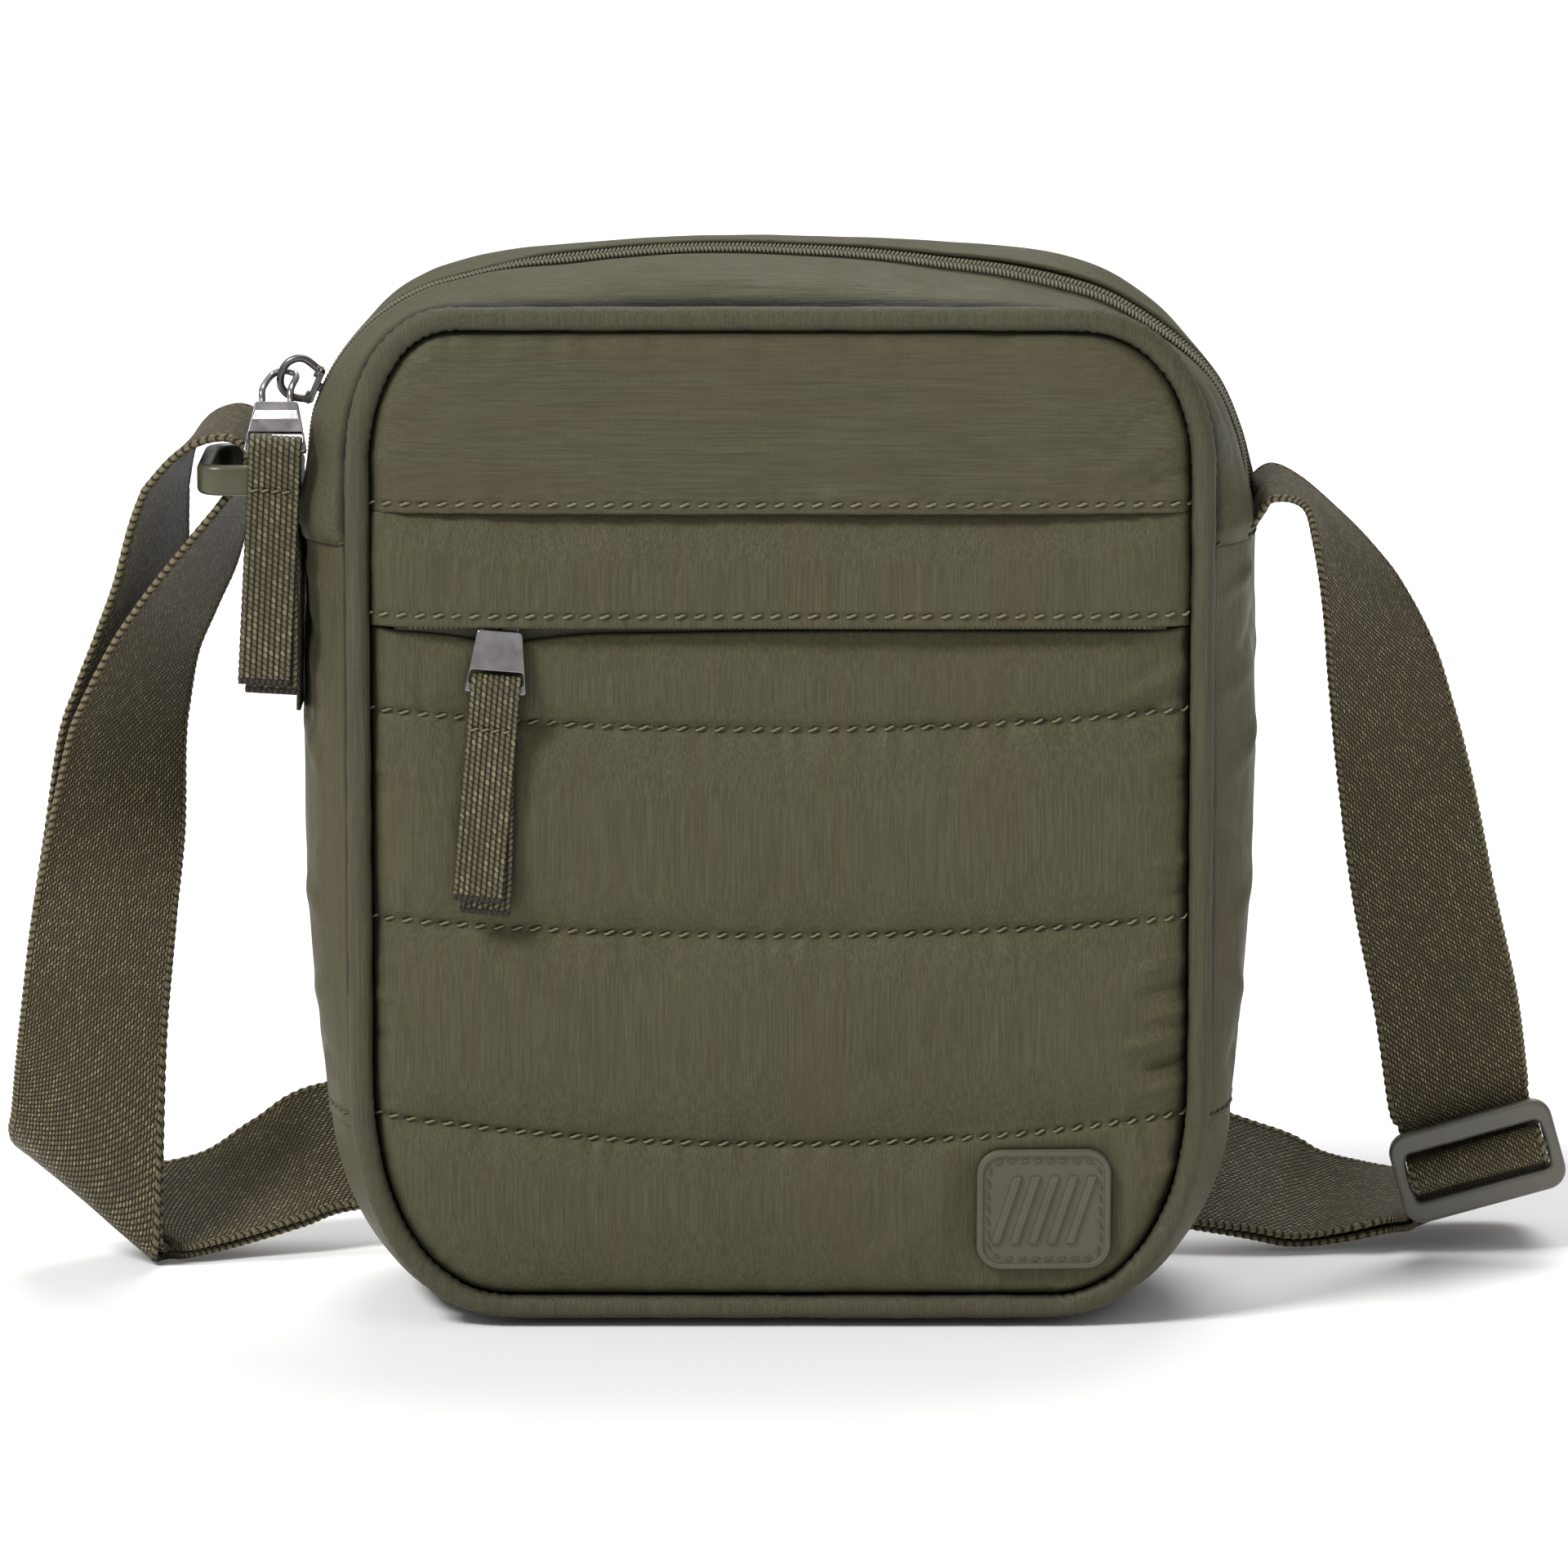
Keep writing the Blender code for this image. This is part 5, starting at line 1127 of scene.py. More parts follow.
# ---------------------------------------------------------------- stitches
def stitches(name, line, normal, material, body="bag", pitch=4.1, long=2.45, r=0.33, slant=0.17, sink=0.52, start_at=1.2):
    """A row of lockstitches. line is a dense path on the surface, normal the surface's normal along it."""
    line, normal = np.asarray(line, float), unit(np.asarray(normal, float))
    run = lengths(line)
    verts, faces, uvs = [], [], []
    k, sides = 0, 7
    at = start_at
    while at < run[-1] - long:
        tau = np.linspace(-1, 1, 9)
        s = at + long / 2 + tau * long / 2
        c = np.stack([np.interp(s, run, line[:, j]) for j in range(3)], 1)
        n = unit(np.stack([np.interp(s, run, normal[:, j]) for j in range(3)], 1))
        t = unit(np.gradient(c, axis=0))
        b = np.cross(n, t)
        jitter = 0.10 * float(noise2(k * 1.7, 0.5, 7))
        c = c + b * ((slant * tau * 1.5 + 0.10 * np.sin(tau * math.pi) + jitter)[:, None]) + n * ((0.20 - sink * np.abs(tau) ** 3.2)[:, None])
        t = unit(np.gradient(c, axis=0))
        b = unit(np.cross(n, t))
        m2 = np.cross(t, b)
        rad = r * np.sqrt(np.maximum(1 - np.abs(tau) ** 6, 0.05))
        a = np.linspace(0, 2 * math.pi, sides, endpoint=False)
        ring = c[:, None] + rad[:, None, None] * (np.cos(a)[None, :, None] * b[:, None] + np.sin(a)[None, :, None] * m2[:, None])
        base = len(verts) * 0 + sum(len(v) for v in verts)
        verts.append(ring.reshape(-1, 3))
        for i in range(8):
            for j in range(sides):
                j2 = (j + 1) % sides
                faces.append((base + i * sides + j, base + (i + 1) * sides + j, base + (i + 1) * sides + j2, base + i * sides + j2))
                uvs += [(j / sides, tau[i] * long), (j / sides, tau[i + 1] * long), ((j + 1) / sides, tau[i + 1] * long), ((j + 1) / sides, tau[i] * long)]
        at += pitch * (1 + 0.05 * float(noise2(k * 0.9, 3.5, 8)))
        k += 1
    return verts, faces, uvs


def stitch_piece(name, rows, material, body):
    V, F, U = [], [], []
    for line, normal, kw in rows:
        v, f, u = stitches(name, line, normal, material, **kw)
        base = sum(len(x) for x in V)
        V += v
        F += [tuple(base + i for i in face) for face in f]
        U += u
    return done(mesh_of(name, np.concatenate(V), F, material, uv=U), body, "piping")


def on_panel(y_of, zline, x0, x1, n=400):
    """Points and normals of a front panel along a line of given height."""
    x = np.linspace(x0, x1, n)
    z = zline(x) if callable(zline) else np.full(n, float(zline))
    e = 0.6
    y = (y_of(x, z - e) + y_of(x, z + e)) / 2
    dx = (y_of(x + 1.5, z) - y_of(x - 1.5, z)) / 3.0
    return np.stack([x, y, z], 1), np.stack([dx, np.full(n, -1.0), np.zeros(n)], 1)


rows = [(*on_panel(y_top, 183.4, -90.4, 90.4), dict(sink=0.5)), (*on_panel(y_band, 159.2, -90.4, 90.4), dict(sink=0.5, start_at=0.4))]
stitch_piece("panel_stitches", rows, THREAD, "bag")
rows = []
for k, line in enumerate(QUILT):
    hi = 90.6
    P, N = on_panel(y_pocket, lambda x, line=line: quilt_z(x, line), -hi, hi)
    P[:, 1] -= 0.12
    rows.append((P, N, dict(sink=0.6, start_at=0.8 + 0.7 * k, slant=0.24, r=0.29)))
stitch_piece("quilt_stitches", rows, THREAD, "bag")


def on_side(sign, z, seed, v0=-0.97, v1=0.97, n=160):
    v = np.linspace(v0, v1, n)
    zz = np.full(n, z)
    x = (side_surface(sign, zz - 0.6, v, seed) + side_surface(sign, zz + 0.6, v, seed)) / 2
    P = np.stack([sign * x, 30.9 * v, zz], 1)
    t = np.gradient(P, axis=0)
    N = np.stack([sign * np.abs(t[:, 1]), -sign * t[:, 0] * sign * np.sign(1.0), np.zeros(n)], 1)
    N[:, 1] = -t[:, 0] * np.sign(t[:, 1]) * sign
    return P, N


rows = []
for sign, seed in ((1, 131), (-1, 141)):
    for z in (173.6, 46.4):
        rows.append((*on_side(sign, z, seed), dict(pitch=3.6, long=2.9, r=0.24, slant=0.15)))
stitch_piece("gusset_stitches", rows, THREAD_G, "bag")


# ---------------------------------------------------------------- main zip
def zip_strip(name, y0, y1, r, material, node, thickness=0.5, wave=0.0):
    y = np.linspace(y0, y1, 9)
    Pxz = np.stack([zip_line(v, r) for v in y], 1)
    P = np.stack([Pxz[..., 0], np.broadcast_to(y[None], (N_TOP, 9)), Pxz[..., 1]], -1)
    return done(grid(name, P[:, ::-1], material, flip=False, thickness=thickness), "bag", "tape", node)


zip_strip("zip_tape_front_cloth", ZIP_Y - 6.0, ZIP_Y - SLIT, 0.0, TAPE, "main_zip_tape_front")
zip_strip("zip_tape_back_cloth", ZIP_Y + SLIT, ZIP_Y + 6.0, 0.0, TAPE, "main_zip_tape_back")


def beads(centres, across, up, along, size, material, name, segs=8, rings=5):
    """Small rounded coil turns: one ellipsoid-like loop at each centre."""
    a = np.linspace(0, 2 * math.pi, segs, endpoint=False)
    b = np.linspace(-math.pi / 2, math.pi / 2, rings + 2)[1:-1]
    pts, V, F = [], [], []
    loc = []
    for q in b:
        for p in a:
            loc.append((math.copysign(abs(math.sin(q)) ** 0.6, math.sin(q)), math.cos(q) ** 0.55 * math.cos(p), math.cos(q) ** 0.55 * math.sin(p)))
    loc.append((-1.0, 0, 0))
    loc.append((1.0, 0, 0))
    loc = np.array(loc)
    base_faces = []
    for i in range(rings - 1):
        for j in range(segs):
            j2 = (j + 1) % segs
            base_faces.append((i * segs + j, i * segs + j2, (i + 1) * segs + j2, (i + 1) * segs + j))
    n0, n1 = rings * segs, rings * segs + 1
    for j in range(segs):
        j2 = (j + 1) % segs
        base_faces.append((n0, j2, j, j))
        base_faces.append((n1, (rings - 1) * segs + j, (rings - 1) * segs + j2, (rings - 1) * segs + j2))
    base_faces = [tuple(dict.fromkeys(f)) for f in base_faces]
    for c, x, y, z in zip(centres, across, up, along):
        base = len(V) * len(loc)
        V.append(c + loc[:, 0:1] * x * size[0] + loc[:, 1:2] * y * size[1] + loc[:, 2:3] * z * size[2])
        F += [tuple(base + i for i in f) for f in base_faces]
    me = bpy.data.meshes.new(name)
    me.from_pydata((np.concatenate(V) * MM).tolist(), [], F)
    me.polygons.foreach_set("use_smooth", np.ones(len(me.polygons), bool))
    me.materials.append(material)
    ob = bpy.data.objects.new(name, me)
    SCENE.collection.objects.link(ob)
    return ob


def main_coil(name, sgn, node):
    total = lengths(CREST)[-1]
    s = np.arange(3.0 + (0.55 if sgn > 0 else 0.0), total - 3.0, 0.9)
    row = zip_line(ZIP_Y + sgn * 1.15, 0.60)
    C = np.stack([np.interp(s, lengths(CREST), row[:, j]) for j in range(2)], 1)
    Nn = np.stack([np.interp(s, lengths(CREST), CREST_N[:, j]) for j in range(2)], 1)
    lean = np.interp(s, lengths(CREST), LEAN)
    T = np.stack([Nn[:, 1], -Nn[:, 0]], 1)
    V3 = lambda A: np.stack([A[:, 0], np.zeros(len(A)), A[:, 1]], 1)
    c = V3(C)
    c[:, 1] = ZIP_Y + sgn * 1.15
    n, t = V3(Nn), V3(T)
    y = np.zeros_like(n)
    y[:, 1] = 1.0
    ax = unit(y + 0.22 * t * sgn + n * lean[:, None])
    ob = beads(c, ax, n, t, (1.16, 0.52, 0.36), COIL, name)
    return done(ob, "bag", "coil", node)


main_coil("zip_coil_front_turns", -1, "main_zip_coil_front")
main_coil("zip_coil_back_turns", 1, "main_zip_coil_back")

# pocket zip, behind the flap
for name, z0, z1, node in (("pocket_tape_up", 158.6, 167.5, "pocket_zip_tape_upper"), ("pocket_tape_low", 147.0, 157.4, "pocket_zip_tape_lower")):
    zz = np.linspace(z0, z1, 8)
    xx = np.linspace(-84, 84, 120)
    XX, ZZ = np.meshgrid(xx, zz)
    done(grid(name, np.stack([XX, -33.3 + 0.06 * noise2(XX / 5, ZZ / 3, 161), ZZ], -1), TAPE, thickness=0.5), "bag", "tape", node)
for name, zc, sgn, node in (("pocket_coil_up", 159.15, 1, "pocket_zip_coil_upper"), ("pocket_coil_low", 156.85, -1, "pocket_zip_coil_lower")):
    xs = np.arange(-80.5 + (0.55 if sgn > 0 else 0), 80.6, 1.1)
    c = np.stack([xs, np.full(len(xs), -34.3), np.full(len(xs), zc)], 1)
    one = np.ones((len(xs), 1))
    ob = beads(c, unit(one * np.array([[0.2 * sgn, 0, 1.0]])), one * np.array([[0, -1.0, 0]]), one * np.array([[1.0, 0, 0]]), (1.1, 0.68, 0.42), COIL, name)
    done(ob, "bag", "coil", node)

# ---------------------------------------------------------------- main slider and its pull
A = math.radians(SLIDER_DEG)
RAD, TAN = np.array([math.cos(A), 0, math.sin(A)]), np.array([math.sin(A), 0, -math.cos(A)])


def on_arc(r, t, y=ZIP_Y):
    p = np.array([ARC_C[0], 0, ARC_C[1]]) + RAD * r + TAN * t
    return np.array([p[0], y, p[2]])


def mat4(cx, cy, cz, at):
    m = Matrix(((cx[0], cy[0], cz[0], at[0] * MM), (cx[1], cy[1], cz[1], at[1] * MM), (cx[2], cy[2], cz[2], at[2] * MM), (0, 0, 0, 1)))
    return m


def slider_outline(l, w):
    """Broad at the open end, waisted in the middle, narrower at the closed end."""
    t = np.linspace(0, 2 * math.pi, 56, endpoint=False)
    x = np.sign(np.cos(t)) * np.abs(np.cos(t)) ** 0.55 * l / 2
    w_at = w / 2 * (0.93 + 0.10 * (x / (l / 2)) - 0.09 * np.cos(x / (l / 2) * math.pi * 0.5) ** 4)
    y = np.sign(np.sin(t)) * np.abs(np.sin(t)) ** 0.55 * w_at
    return np.stack([x, y], 1)


def slider(name, frame_at, material, outer, inner, l=8.6, w=7.2):
    top = plate(name + "_a", [slider_outline(l, w)], 0.9, material, 0.3, frame_at(outer + 0.45))
    low = plate(name + "_b", [slider_outline(l, w - 0.4)], 0.9, material, 0.25, frame_at(inner + 0.45))
    neck = plate(name + "_c", [round_rect(2.0, 0.6, 0.2, 3)], outer - inner + 0.4, material, 0.02, frame_at((outer + inner + 0.9) / 2))
    rails = []
    for s in (-1, 1):
        e = plate(name + f"_r{s}", [round_rect(l * 0.8, 0.55, 0.25, 3)], 0.8, material, 0.12,
                  frame_at(outer - 0.1) @ Matrix.Translation((0, s * (w / 2 - 0.45) * MM, 0)))
        rails.append(e)
    return [top, low, neck] + rails


def main_frame(r):
    return mat4(TAN, np.array([0, 1, 0]), RAD, on_arc(ARC_R + r, 0.0))


parts = slider("main_slider", main_frame, METAL_DARK, 2.05, -2.15)
bail = catmull([on_arc(ARC_R + 2.3, 3.3), on_arc(ARC_R + 7.0, 4.4), on_arc(ARC_R + 9.7, 2.6), on_arc(ARC_R + 10.3, -0.4),
                on_arc(ARC_R + 9.2, -3.2), on_arc(ARC_R + 6.4, -4.3), on_arc(ARC_R + 2.3, -3.3)], 12)
parts.append(tube("bail", bail, 0.85, METAL_DARK, 14))
# the bridge's two feet
for t in (3.3, -3.3):
    parts.append(plate("foot", [round_rect(2.6, 3.0, 0.8, 5)], 1.0, METAL_DARK, 0.3, mat4(TAN, np.array([0, 1, 0]), RAD, on_arc(ARC_R + 3.2, t * 0.92))))
done(join_as("main_slider_shape", parts), "main_slider", "metal", "main_slider_body")

HOOK = on_arc(ARC_R + 10.3, -0.4)
PULL_AXIS = np.array([HOOK[0] + 1.0, HOOK[1] + 2.0, HOOK[2]])
TAG_TOP = np.array([PULL_AXIS[0] - 1.7, -14.6, PULL_AXIS[2] - 5.4])
TAG_LEAN = math.radians(36.0)
DOWN = np.array([0, -math.sin(TAG_LEAN), -math.cos(TAG_LEAN)])
LEG, TAG_H, TAG_BAR, TAG_SLOT = 3.1, 12.4, 1.9, 2.9


def tag_point(x, d):
    p = TAG_TOP + DOWN * d
    return np.array([p[0] + x, p[1], p[2]])


PA = PULL_AXIS
wire = catmull([tag_point(-LEG, -0.2), tag_point(-LEG, -3.4), PA + [-LEG - 0.3, -1.2, -0.9], PA + [-LEG + 1.4, 0, 0],
                PA + [LEG - 2.4, 0, 0], PA + [LEG - 0.9, -1.2, -0.9], tag_point(LEG, -3.4), tag_point(LEG, -0.2)], 10)
done(tube("main_pull_wire_shape", wire, 0.75, METAL, 14), "main_pull", "metal", "main_pull_wire")


def tag_outline(w_top, w_low, h, r=0.9):
    """Tapered plate, y down from 0, with rounded corners."""
    c = [(w_top / 2, 0), (-w_top / 2, 0), (-w_low / 2, -h), (w_low / 2, -h)]
    out = []
    for i in range(4):
        p, a, b = np.array(c[i]), np.array(c[i - 1]), np.array(c[(i + 1) % 4])
        u, v = unit(a - p), unit(b - p)
        for t in np.linspace(0, 1, 6):
            q0, q1 = p + u * r, p + v * r
            out.append((1 - t) ** 2 * q0 + 2 * t * (1 - t) * p + t * t * q1)
    return np.array(out)


def tag(name, w_top, w_low, h, slot_d, bar, thick, matrix, lift=0.0, window=None, knob=True):
    loops = [tag_outline(w_top, w_low, h), round_rect(w_low - 1.9, slot_d, 0.7, 4, 0, -h + bar + slot_d / 2)]
    if window is not None:
        loops.append(window)
    loops = [np.array(l) + [0, lift] for l in loops]
    obs = [plate(name, loops, thick, METAL, 0.28, matrix, 4)]
    # a raised edge along the top: nothing is written on the tag
    if knob:
        # the raised lip takes the brighter gunmetal, a painted highlight
        obs.append(plate(name + "_lip", [np.array([(-w_top / 2 + 0.1, -2.3), (-w_top / 2 - 0.45, -4.6), (w_top / 2 + 0.45, -4.6), (w_top / 2 - 0.1, -2.3)]) + [0, lift]],
                         0.5, METAL_HIGHLIGHT, 0.22, matrix @ Matrix.Translation((0, 0, (thick / 2 - 0.08) * MM)), 3))
    return join_as(name, obs) if len(obs) > 1 else obs[0]


turn = Matrix.Translation(Vector(TAG_TOP) * MM) @ Matrix.Rotation(math.pi / 2 - TAG_LEAN, 4, "X")
done(tag("main_pull_tag_shape", 9.4, 14.0, TAG_H, TAG_SLOT, TAG_BAR, 1.5, turn), "main_pull", "metal", "main_pull_tag")


def pull_tape(name, matrix, length, width, body, node, cross, seed, splay=0.0, drift=0.0):
    """Coarse webbing folded round the tag's bar: an eye, two layers with a cross stitch, and heat-sealed ends."""
    r_in, t = 1.8, 1.15
    rm = r_in + t / 2
    # middle line of the tape in (depth, up): up the back, over the bar, down the front
    back = [(-0.66 - splay * 1.2, -length - 0.5 * drift - splay * 1.6), (-0.64 - splay * 0.5, -length * 0.7), (-0.64, -length * 0.35), (-0.70, -8.0), (-1.6, -3.6)]
    a = np.radians(np.linspace(200, -20, 15))
    eye = [(rm * math.cos(q), rm * math.sin(q)) for q in a]
    front = [(1.6, -3.6), (0.70, -8.0), (0.64, -length * 0.35), (0.64, -length * 0.7), (0.62, -length + 1.2 + splay * 0.5)]
    line = resample(catmull([(p[0], p[1], 0) for p in back + eye + front], 10), 620)[:, :2]
    s = lengths(line)
    tang = unit(np.gradient(line, axis=0))
    nrm = np.stack([tang[:, 1], -tang[:, 0]], 1)          # outwards
    nrm *= np.sign((nrm[len(nrm) // 2] * (0, 1)).sum() or 1.0)
    m = 97
    u = np.linspace(-1, 1, m)
    w = width / 2
    cols = 9
    cu = (u + 1) / 2 * cols
    k = np.floor(np.minimum(cu, cols - 1e-6))
    f = cu - k
    ph = s[:, None] / 1.3 + (0.5 * k - 0.50 * f)[None]
    rel = (np.abs(np.sin(math.pi * ph)) ** 0.6) * (np.maximum(np.sin(math.pi * f), 0.0) ** 0.5)[None]
    relief = 0.30 * (rel - 0.6)
    across_stitch = 0.0
    for c0 in (s[-1] - (length - cross) + 1.0, (length - cross) - 1.0):
        across_stitch = across_stitch + np.exp(-((s[:, None] - c0) / 0.7) ** 2)
    relief = relief - 0.30 * across_stitch
    ends = smooth(0, 0.5, s) * smooth(0, 0.5, s[-1] - s)
    wob = 0.15 * noise2(s / 9.0, 0.5, seed)
    edge = 0.18 * np.abs(np.sin(math.pi * s / 1.75))
    x = u[None] * (w - 0.15 + edge[:, None])
    # the back layer hangs a little to one side
    x = x + (drift * smooth(8.0, length, -line[:, 1]) * (s < s[-1] / 2))[:, None]
    half = t / 2 * (0.5 + 0.5 * ends)[:, None] * np.where(np.abs(u) > 0.985, 0.55, 1.0)[None]
    def side(sgn):
        d = half * sgn + relief * sgn * (0.5 + 0.5 * ends)[:, None] * np.where(np.abs(u) > 0.985, 0.2, 1.0)[None]
        q = line[:, None] + nrm[:, None] * (d + wob[:, None])[..., None]
        # local x is depth, so that +depth is towards the viewer (-Y)
        return np.stack([x, -q[..., 0], q[..., 1]], -1)
    P = np.concatenate([side(1.0), side(-1.0)[:, ::-1]], 1)
    us = (np.concatenate([u, u[::-1], u[:1]]) + 1) / 2 * cols * 1.278
    # the heat-sealed ends are told apart by their own place in U
    sealed = 200.0 * ((s < 1.3) | (s > s[-1] - 1.3))
    U = np.stack([us[None] + sealed[:, None], np.broadcast_to(s[:, None], (len(s), len(us)))], -1)
    ob = grid(name, P, PULL_M, uv=U, wrap_j=True, caps=True)
    ob.data.transform(matrix)
    ob.data.update()
    obs = [ob]
    V, F, UU = [], [], []
    xs = np.linspace(-w + 0.6, w - 0.6, 40)
    for sgn in (1.0, -1.0):
        pts = np.stack([xs, np.full(40, -(0.64 + t / 2 + 0.02) * sgn), np.full(40, -float(cross))], 1)
        nn = np.tile([0, -1.0 * sgn, 0], (40, 1))
        pts = np.array([matrix @ (Vector(p) * MM) for p in pts]) / MM
        nn = np.array([matrix.to_3x3() @ Vector(q) for q in nn])
        v, f2, u2 = stitches("x", pts, nn, THREAD, pitch=2.3, long=2.0, r=0.24, slant=0.12, sink=0.3, start_at=0.1)
        base = sum(len(q) for q in V)
        V += v
        F += [tuple(base + i for i in face) for face in f2]
        UU += u2
    obs.append(mesh_of(name + "_thread", np.concatenate(V), F, THREAD, uv=UU))
    return done(join_as(name, obs), body, "webbing", node)


TAPE_EYE = tag_point(0.0, TAG_H - TAG_BAR / 2)
pull_tape("main_pull_tape_cloth", Matrix.Translation(Vector(TAPE_EYE) * MM) @ Matrix.Rotation(math.radians(3.2), 4, "Y"),
          53.4, 11.5, "main_pull_tape", "main_pull_tape", 9.2, 171, drift=1.6)

# ---------------------------------------------------------------- pocket slider and its pull
PK_X, ZIP_Z = -60.9, 158.0


def pocket_frame(r):
    return mat4(np.array([1, 0, 0]), np.array([0, 0, 1]), np.array([0, -1, 0]), np.array([PK_X, -33.3 - r, ZIP_Z]))


parts = slider("pocket_slider", pocket_frame, METAL_DARK, 1.75, -2.0)
hook = catmull([(PK_X, -35.9, 156.3), (PK_X, -36.6, 155.7), (PK_X, -37.2, 155.35), (PK_X, -37.75, 155.2)], 8)
parts.append(tube("pk_hook", hook, 0.42, METAL_DARK, 8))
done(join_as("pocket_slider_shape", parts), "pocket_slider", "metal", "pocket_slider_body")
PK_AXIS = np.array([PK_X, -37.9, 155.2])
PK_TILT, PK_LEAN, PK_TAPE_LEAN, PK_TAG_H, PK_TOP = math.radians(4.5), math.radians(7.0), math.radians(3.5), 13.6, 0.7
pk_turn = Matrix.Rotation(PK_TILT, 4, "Y") @ Matrix.Rotation(-PK_LEAN, 4, "X")
done(tag("pocket_pull_tag_shape", 9.8, 13.4, PK_TAG_H, TAG_SLOT, TAG_BAR, 1.3,
         Matrix.Translation(Vector(PK_AXIS) * MM) @ pk_turn @ Matrix.Rotation(math.pi / 2, 4, "X"),
         PK_TOP, None, knob=False), "pocket_pull", "metal", "pocket_pull_tag")
PK_EYE = PK_AXIS + np.array(pk_turn.to_3x3() @ Vector((0, 0, -(PK_TAG_H - PK_TOP - TAG_BAR / 2))))
pull_tape("pocket_pull_tape_cloth", Matrix.Translation(Vector(PK_EYE) * MM) @ Matrix.Rotation(PK_TILT * 1.15, 4, "Y") @ Matrix.Rotation(-PK_TAPE_LEAN, 4, "X"),
          48.0, 11.0, "pocket_pull_tape", "pocket_pull_tape", 9.0, 181, splay=0.35, drift=1.9)

# ---------------------------------------------------------------- ring, tab, buckle
RING = np.array([-108.6, 3.0, 185.6])


def ring_u(x0, x1, h, r, n=10):
    out = [(x1, h)]
    for i in range(n + 1):
        a = math.radians(90 + 90 * i / n)
        out.append((x0 + r + r * math.cos(a), h - r + r * math.sin(a)))
    for i in range(n + 1):
        a = math.radians(180 + 90 * i / n)
        out.append((x0 + r + r * math.cos(a), -h + r + r * math.sin(a)))
    out.append((x1, -h))
    return out


loop = np.array(ring_u(-128.0, -106.6, 19.0, 6.0) + ring_u(-124.8, -106.6, 16.0, 3.0)[::-1])
parts = [plate("ring_rail", [loop], 6.8, PAINT_RING, 1.35, Matrix.Translation(Vector((0, 3.0, 185.6)) * MM), 5)]
parts.append(tube("ring_bar", [(RING[0], y, RING[2]) for y in np.linspace(3.0 - 17.6, 3.0 + 17.6, 12)], 1.5, PAINT_RING, 20))
done(join_as("strap_ring_shape", parts), "strap_ring", "painted", "strap_ring")


def strip(name, line, y0, y1, thickness, material, ridge=0.0, seed=5, m=27):
    """A flat strap whose middle line is in the XZ plane and whose width runs along Y."""
    line = np.asarray(line, float)
    s = lengths(line)
    t = unit(np.gradient(line, axis=0))
    n = np.stack([-t[:, 1], t[:, 0]], 1)
    u = np.linspace(-1, 1, m)
    knot = 0.2 * np.abs(np.sin(math.pi * s / 1.95))
    y = (y0 + y1) / 2 + u[None] * ((y1 - y0) / 2 - 0.15 + knot[:, None])
    half = thickness / 2 * np.where(np.abs(u) > 0.99, 0.45, 1.0)
    wob = 0.12 * noise2(s[:, None] / 9.0, u[None] * 1.5, seed)
    def side(sg):
        q = line[:, None] + n[:, None] * (half[None] * sg + wob)[..., None]
        return np.stack([q[..., 0], y, q[..., 1]], -1)
    P = np.concatenate([side(1.0), side(-1.0)[:, ::-1]], 1)
    us = np.concatenate([u, u[::-1], u[:1]]) * (y1 - y0) / 2 + 32.5
    U = np.stack([np.broadcast_to(us, (len(s), len(us))), np.broadcast_to(s[:, None], (len(s), len(us)))], -1)
    return grid(name, P, material, uv=U, wrap_j=True, caps=True, flip=True)


# the tab: from under the side gusset's hem, up round the ring's bar and down again; its long end is sewn to the gusset
rm = 1.85 + 0.55
tilt = math.radians(-13.0)


def tab_at(d, up):
    c, s2 = math.cos(tilt), math.sin(tilt)
    return (RING[0] + d * c + up * s2, RING[2] - d * s2 + up * c)


eye = [tab_at(rm * math.cos(math.radians(a)), rm * math.sin(math.radians(a))) for a in np.linspace(212, -32, 19)]
def lie(z):
    return (-(float(np.max(side_surface(-1, np.full(9, z), np.linspace(-0.36, 0.57, 9), 141))) + 0.60), z)


outer_leg = [lie(134.0), lie(142.0), lie(152.0), lie(162.0), lie(169.0), (min(lie(174.0)[0], -106.5), 175.0), tab_at(-0.95, -6.2), tab_at(-1.55, -3.6)]
inner_leg = [tab_at(1.55, -3.6), tab_at(0.75, -6.2), tab_at(0.6, -9.4)]
line = catmull([(p[0], p[1], 0) for p in outer_leg + eye + inner_leg], 8)[:, :2]
line = resample(line, 300)
done(strip("strap_tab_cloth", line, -11.5, 18.0, 1.05, STRAP_M), "bag", "webbing", "strap_tab")

bm = Matrix.Translation(Vector(BUCKLE) * MM) @ Matrix.Rotation(-TILT, 4, "Y") @ Matrix.Rotation(math.pi / 2, 4, "X")
parts = [plate("buckle_frame", [round_rect(38.0, 21.4, 4.6, 10), round_rect(31.6, 11.4, 1.4, 6)], 2.8, PAINT_BUCKLE, 1.05, bm, 6)]
parts.append(tube("buckle_bar", [BUCKLE + BU * x for x in np.linspace(-17.0, 17.0, 12)], 1.25, PAINT_BUCKLE, 18))
buckle = done(join_as("strap_buckle_shape", parts), "strap_buckle", "painted", "strap_buckle")

# ---------------------------------------------------------------- badge: a plain sewn rubber patch
BX, BZ = 57.8, 27.3
yb = lambda x, z: float(-34.5 - 4.0 * crown(np.array(x), np.array(z), 78.0, 80.0))
by = yb(BX, BZ)
ex = Vector((1, yb(BX + 1, BZ) - by, 0)).normalized()
ez = Vector((0, yb(BX, BZ + 1) - by, 1))
ez = (ez - ex * ez.dot(ex)).normalized()
ey = ex.cross(ez)


def on_badge(up):
    m = Matrix((ex, ez, ey)).transposed().to_4x4()
    m.translation = (Vector((BX, by, BZ)) + ey * (up + 0.35)) * MM
    return m


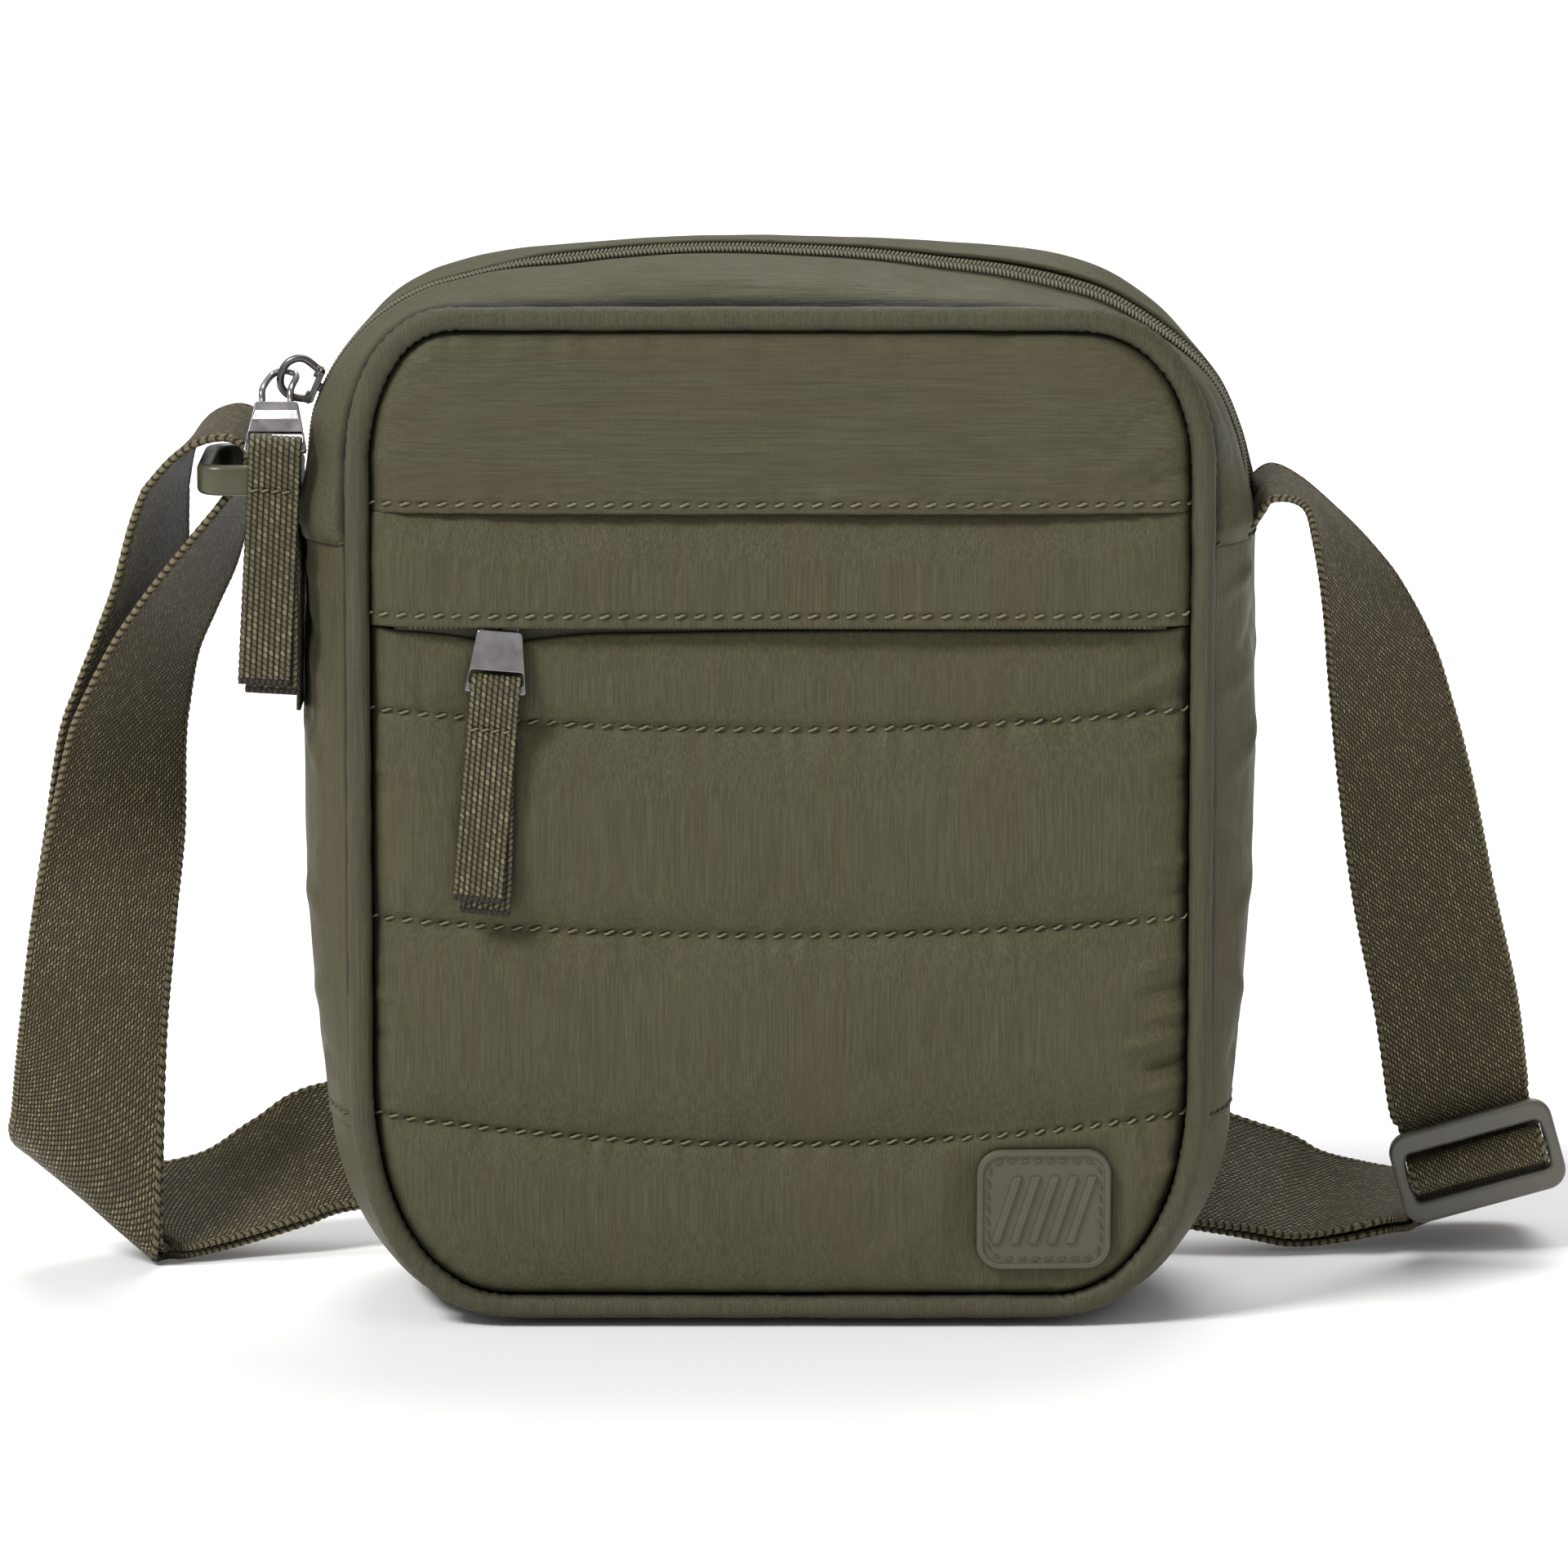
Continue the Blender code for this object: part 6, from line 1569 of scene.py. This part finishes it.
parts = [plate("patch", [round_rect(29.5, 27.0, 5.5, 10)], 1.15, RUBBER, 0.4, on_badge(0.575), 4)]
parts.append(plate("patch_rim", [round_rect(29.1, 26.6, 5.3, 10), round_rect(26.7, 24.2, 4.1, 10)], 0.75, RUBBER, 0.2, on_badge(1.22), 3))
studs = []
for i in range(-2, 3):
    x, h = i * 4.1, 7.6
    studs.append(plate("bar", [np.array([(x - 3.4, -h), (x - 1.6, -h), (x + 3.4, h), (x + 1.6, h)])], 1.0, RUBBER, 0.3, on_badge(1.3), 3))
parts += studs
ring_line = resample(np.concatenate([round_rect(24.6, 22.1, 3.4, 10), round_rect(24.6, 22.1, 3.4, 10)[:1]]), 400)
pts = np.array([on_badge(1.18) @ (Vector((p[0], p[1], 0)) * MM) for p in ring_line]) / MM
V, F, UU = stitches("x", pts, np.tile(list(ey), (400, 1)), THREAD_G, pitch=2.9, long=2.3, r=0.22, slant=0.08, sink=0.3, start_at=0.2)
parts.append(mesh_of("patch_thread", np.concatenate(V), F, THREAD_G, uv=UU))
done(join_as("badge_patch", parts), "bag", "rubber", "badge")

# ---------------------------------------------------------------- the strap's bodies, and the points along their middles
for ob, a, b2, s, e, nodes in (
        (arch, "bag", "strap_buckle", (0.108, 0.0, 0.176), (0.1485, 0.034, 0.046), ("strap_arch", "strap_bar_loop")),
        (in_right, "bag", "strap_buckle", (0.060, 0.052, 0.015), (0.142, 0.052, 0.015), ("strap_inner_run",)),
        (out_right, "bag", "strap_buckle", (0.060, 0.052, 0.015), (0.142, 0.052, 0.015), ("strap_outer_run",)),
        (in_left, "bag", "strap_ring", (-0.154, 0.020, 0.055), (-0.128, 0.006, 0.165), ("strap_inner_run",)),
        (out_left, "bag", "strap_ring", (-0.154, 0.020, 0.055), (-0.135, 0.006, 0.172), ("strap_outer_run", "strap_ring_loop"))):
    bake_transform(ob)
    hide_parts(*nodes)


def declare(mid, back=False):
    p = route(mid)
    if back:
        p = p[::-1]


declare(arch_mid)
declare(irm)
declare(orm)
declare(ilm)
declare(olm)

# ---------------------------------------------------------------- CAD nodes that stay: inside pieces
for name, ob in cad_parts.items():
    look = LINING if name.startswith("lining") or name == "pocket_back_panel" else WADDING
    if name.endswith("cord") or "wadding" in name:
        look = WADDING
    ob.data.materials.clear()
    ob.data.materials.append(look)

lo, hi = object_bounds()
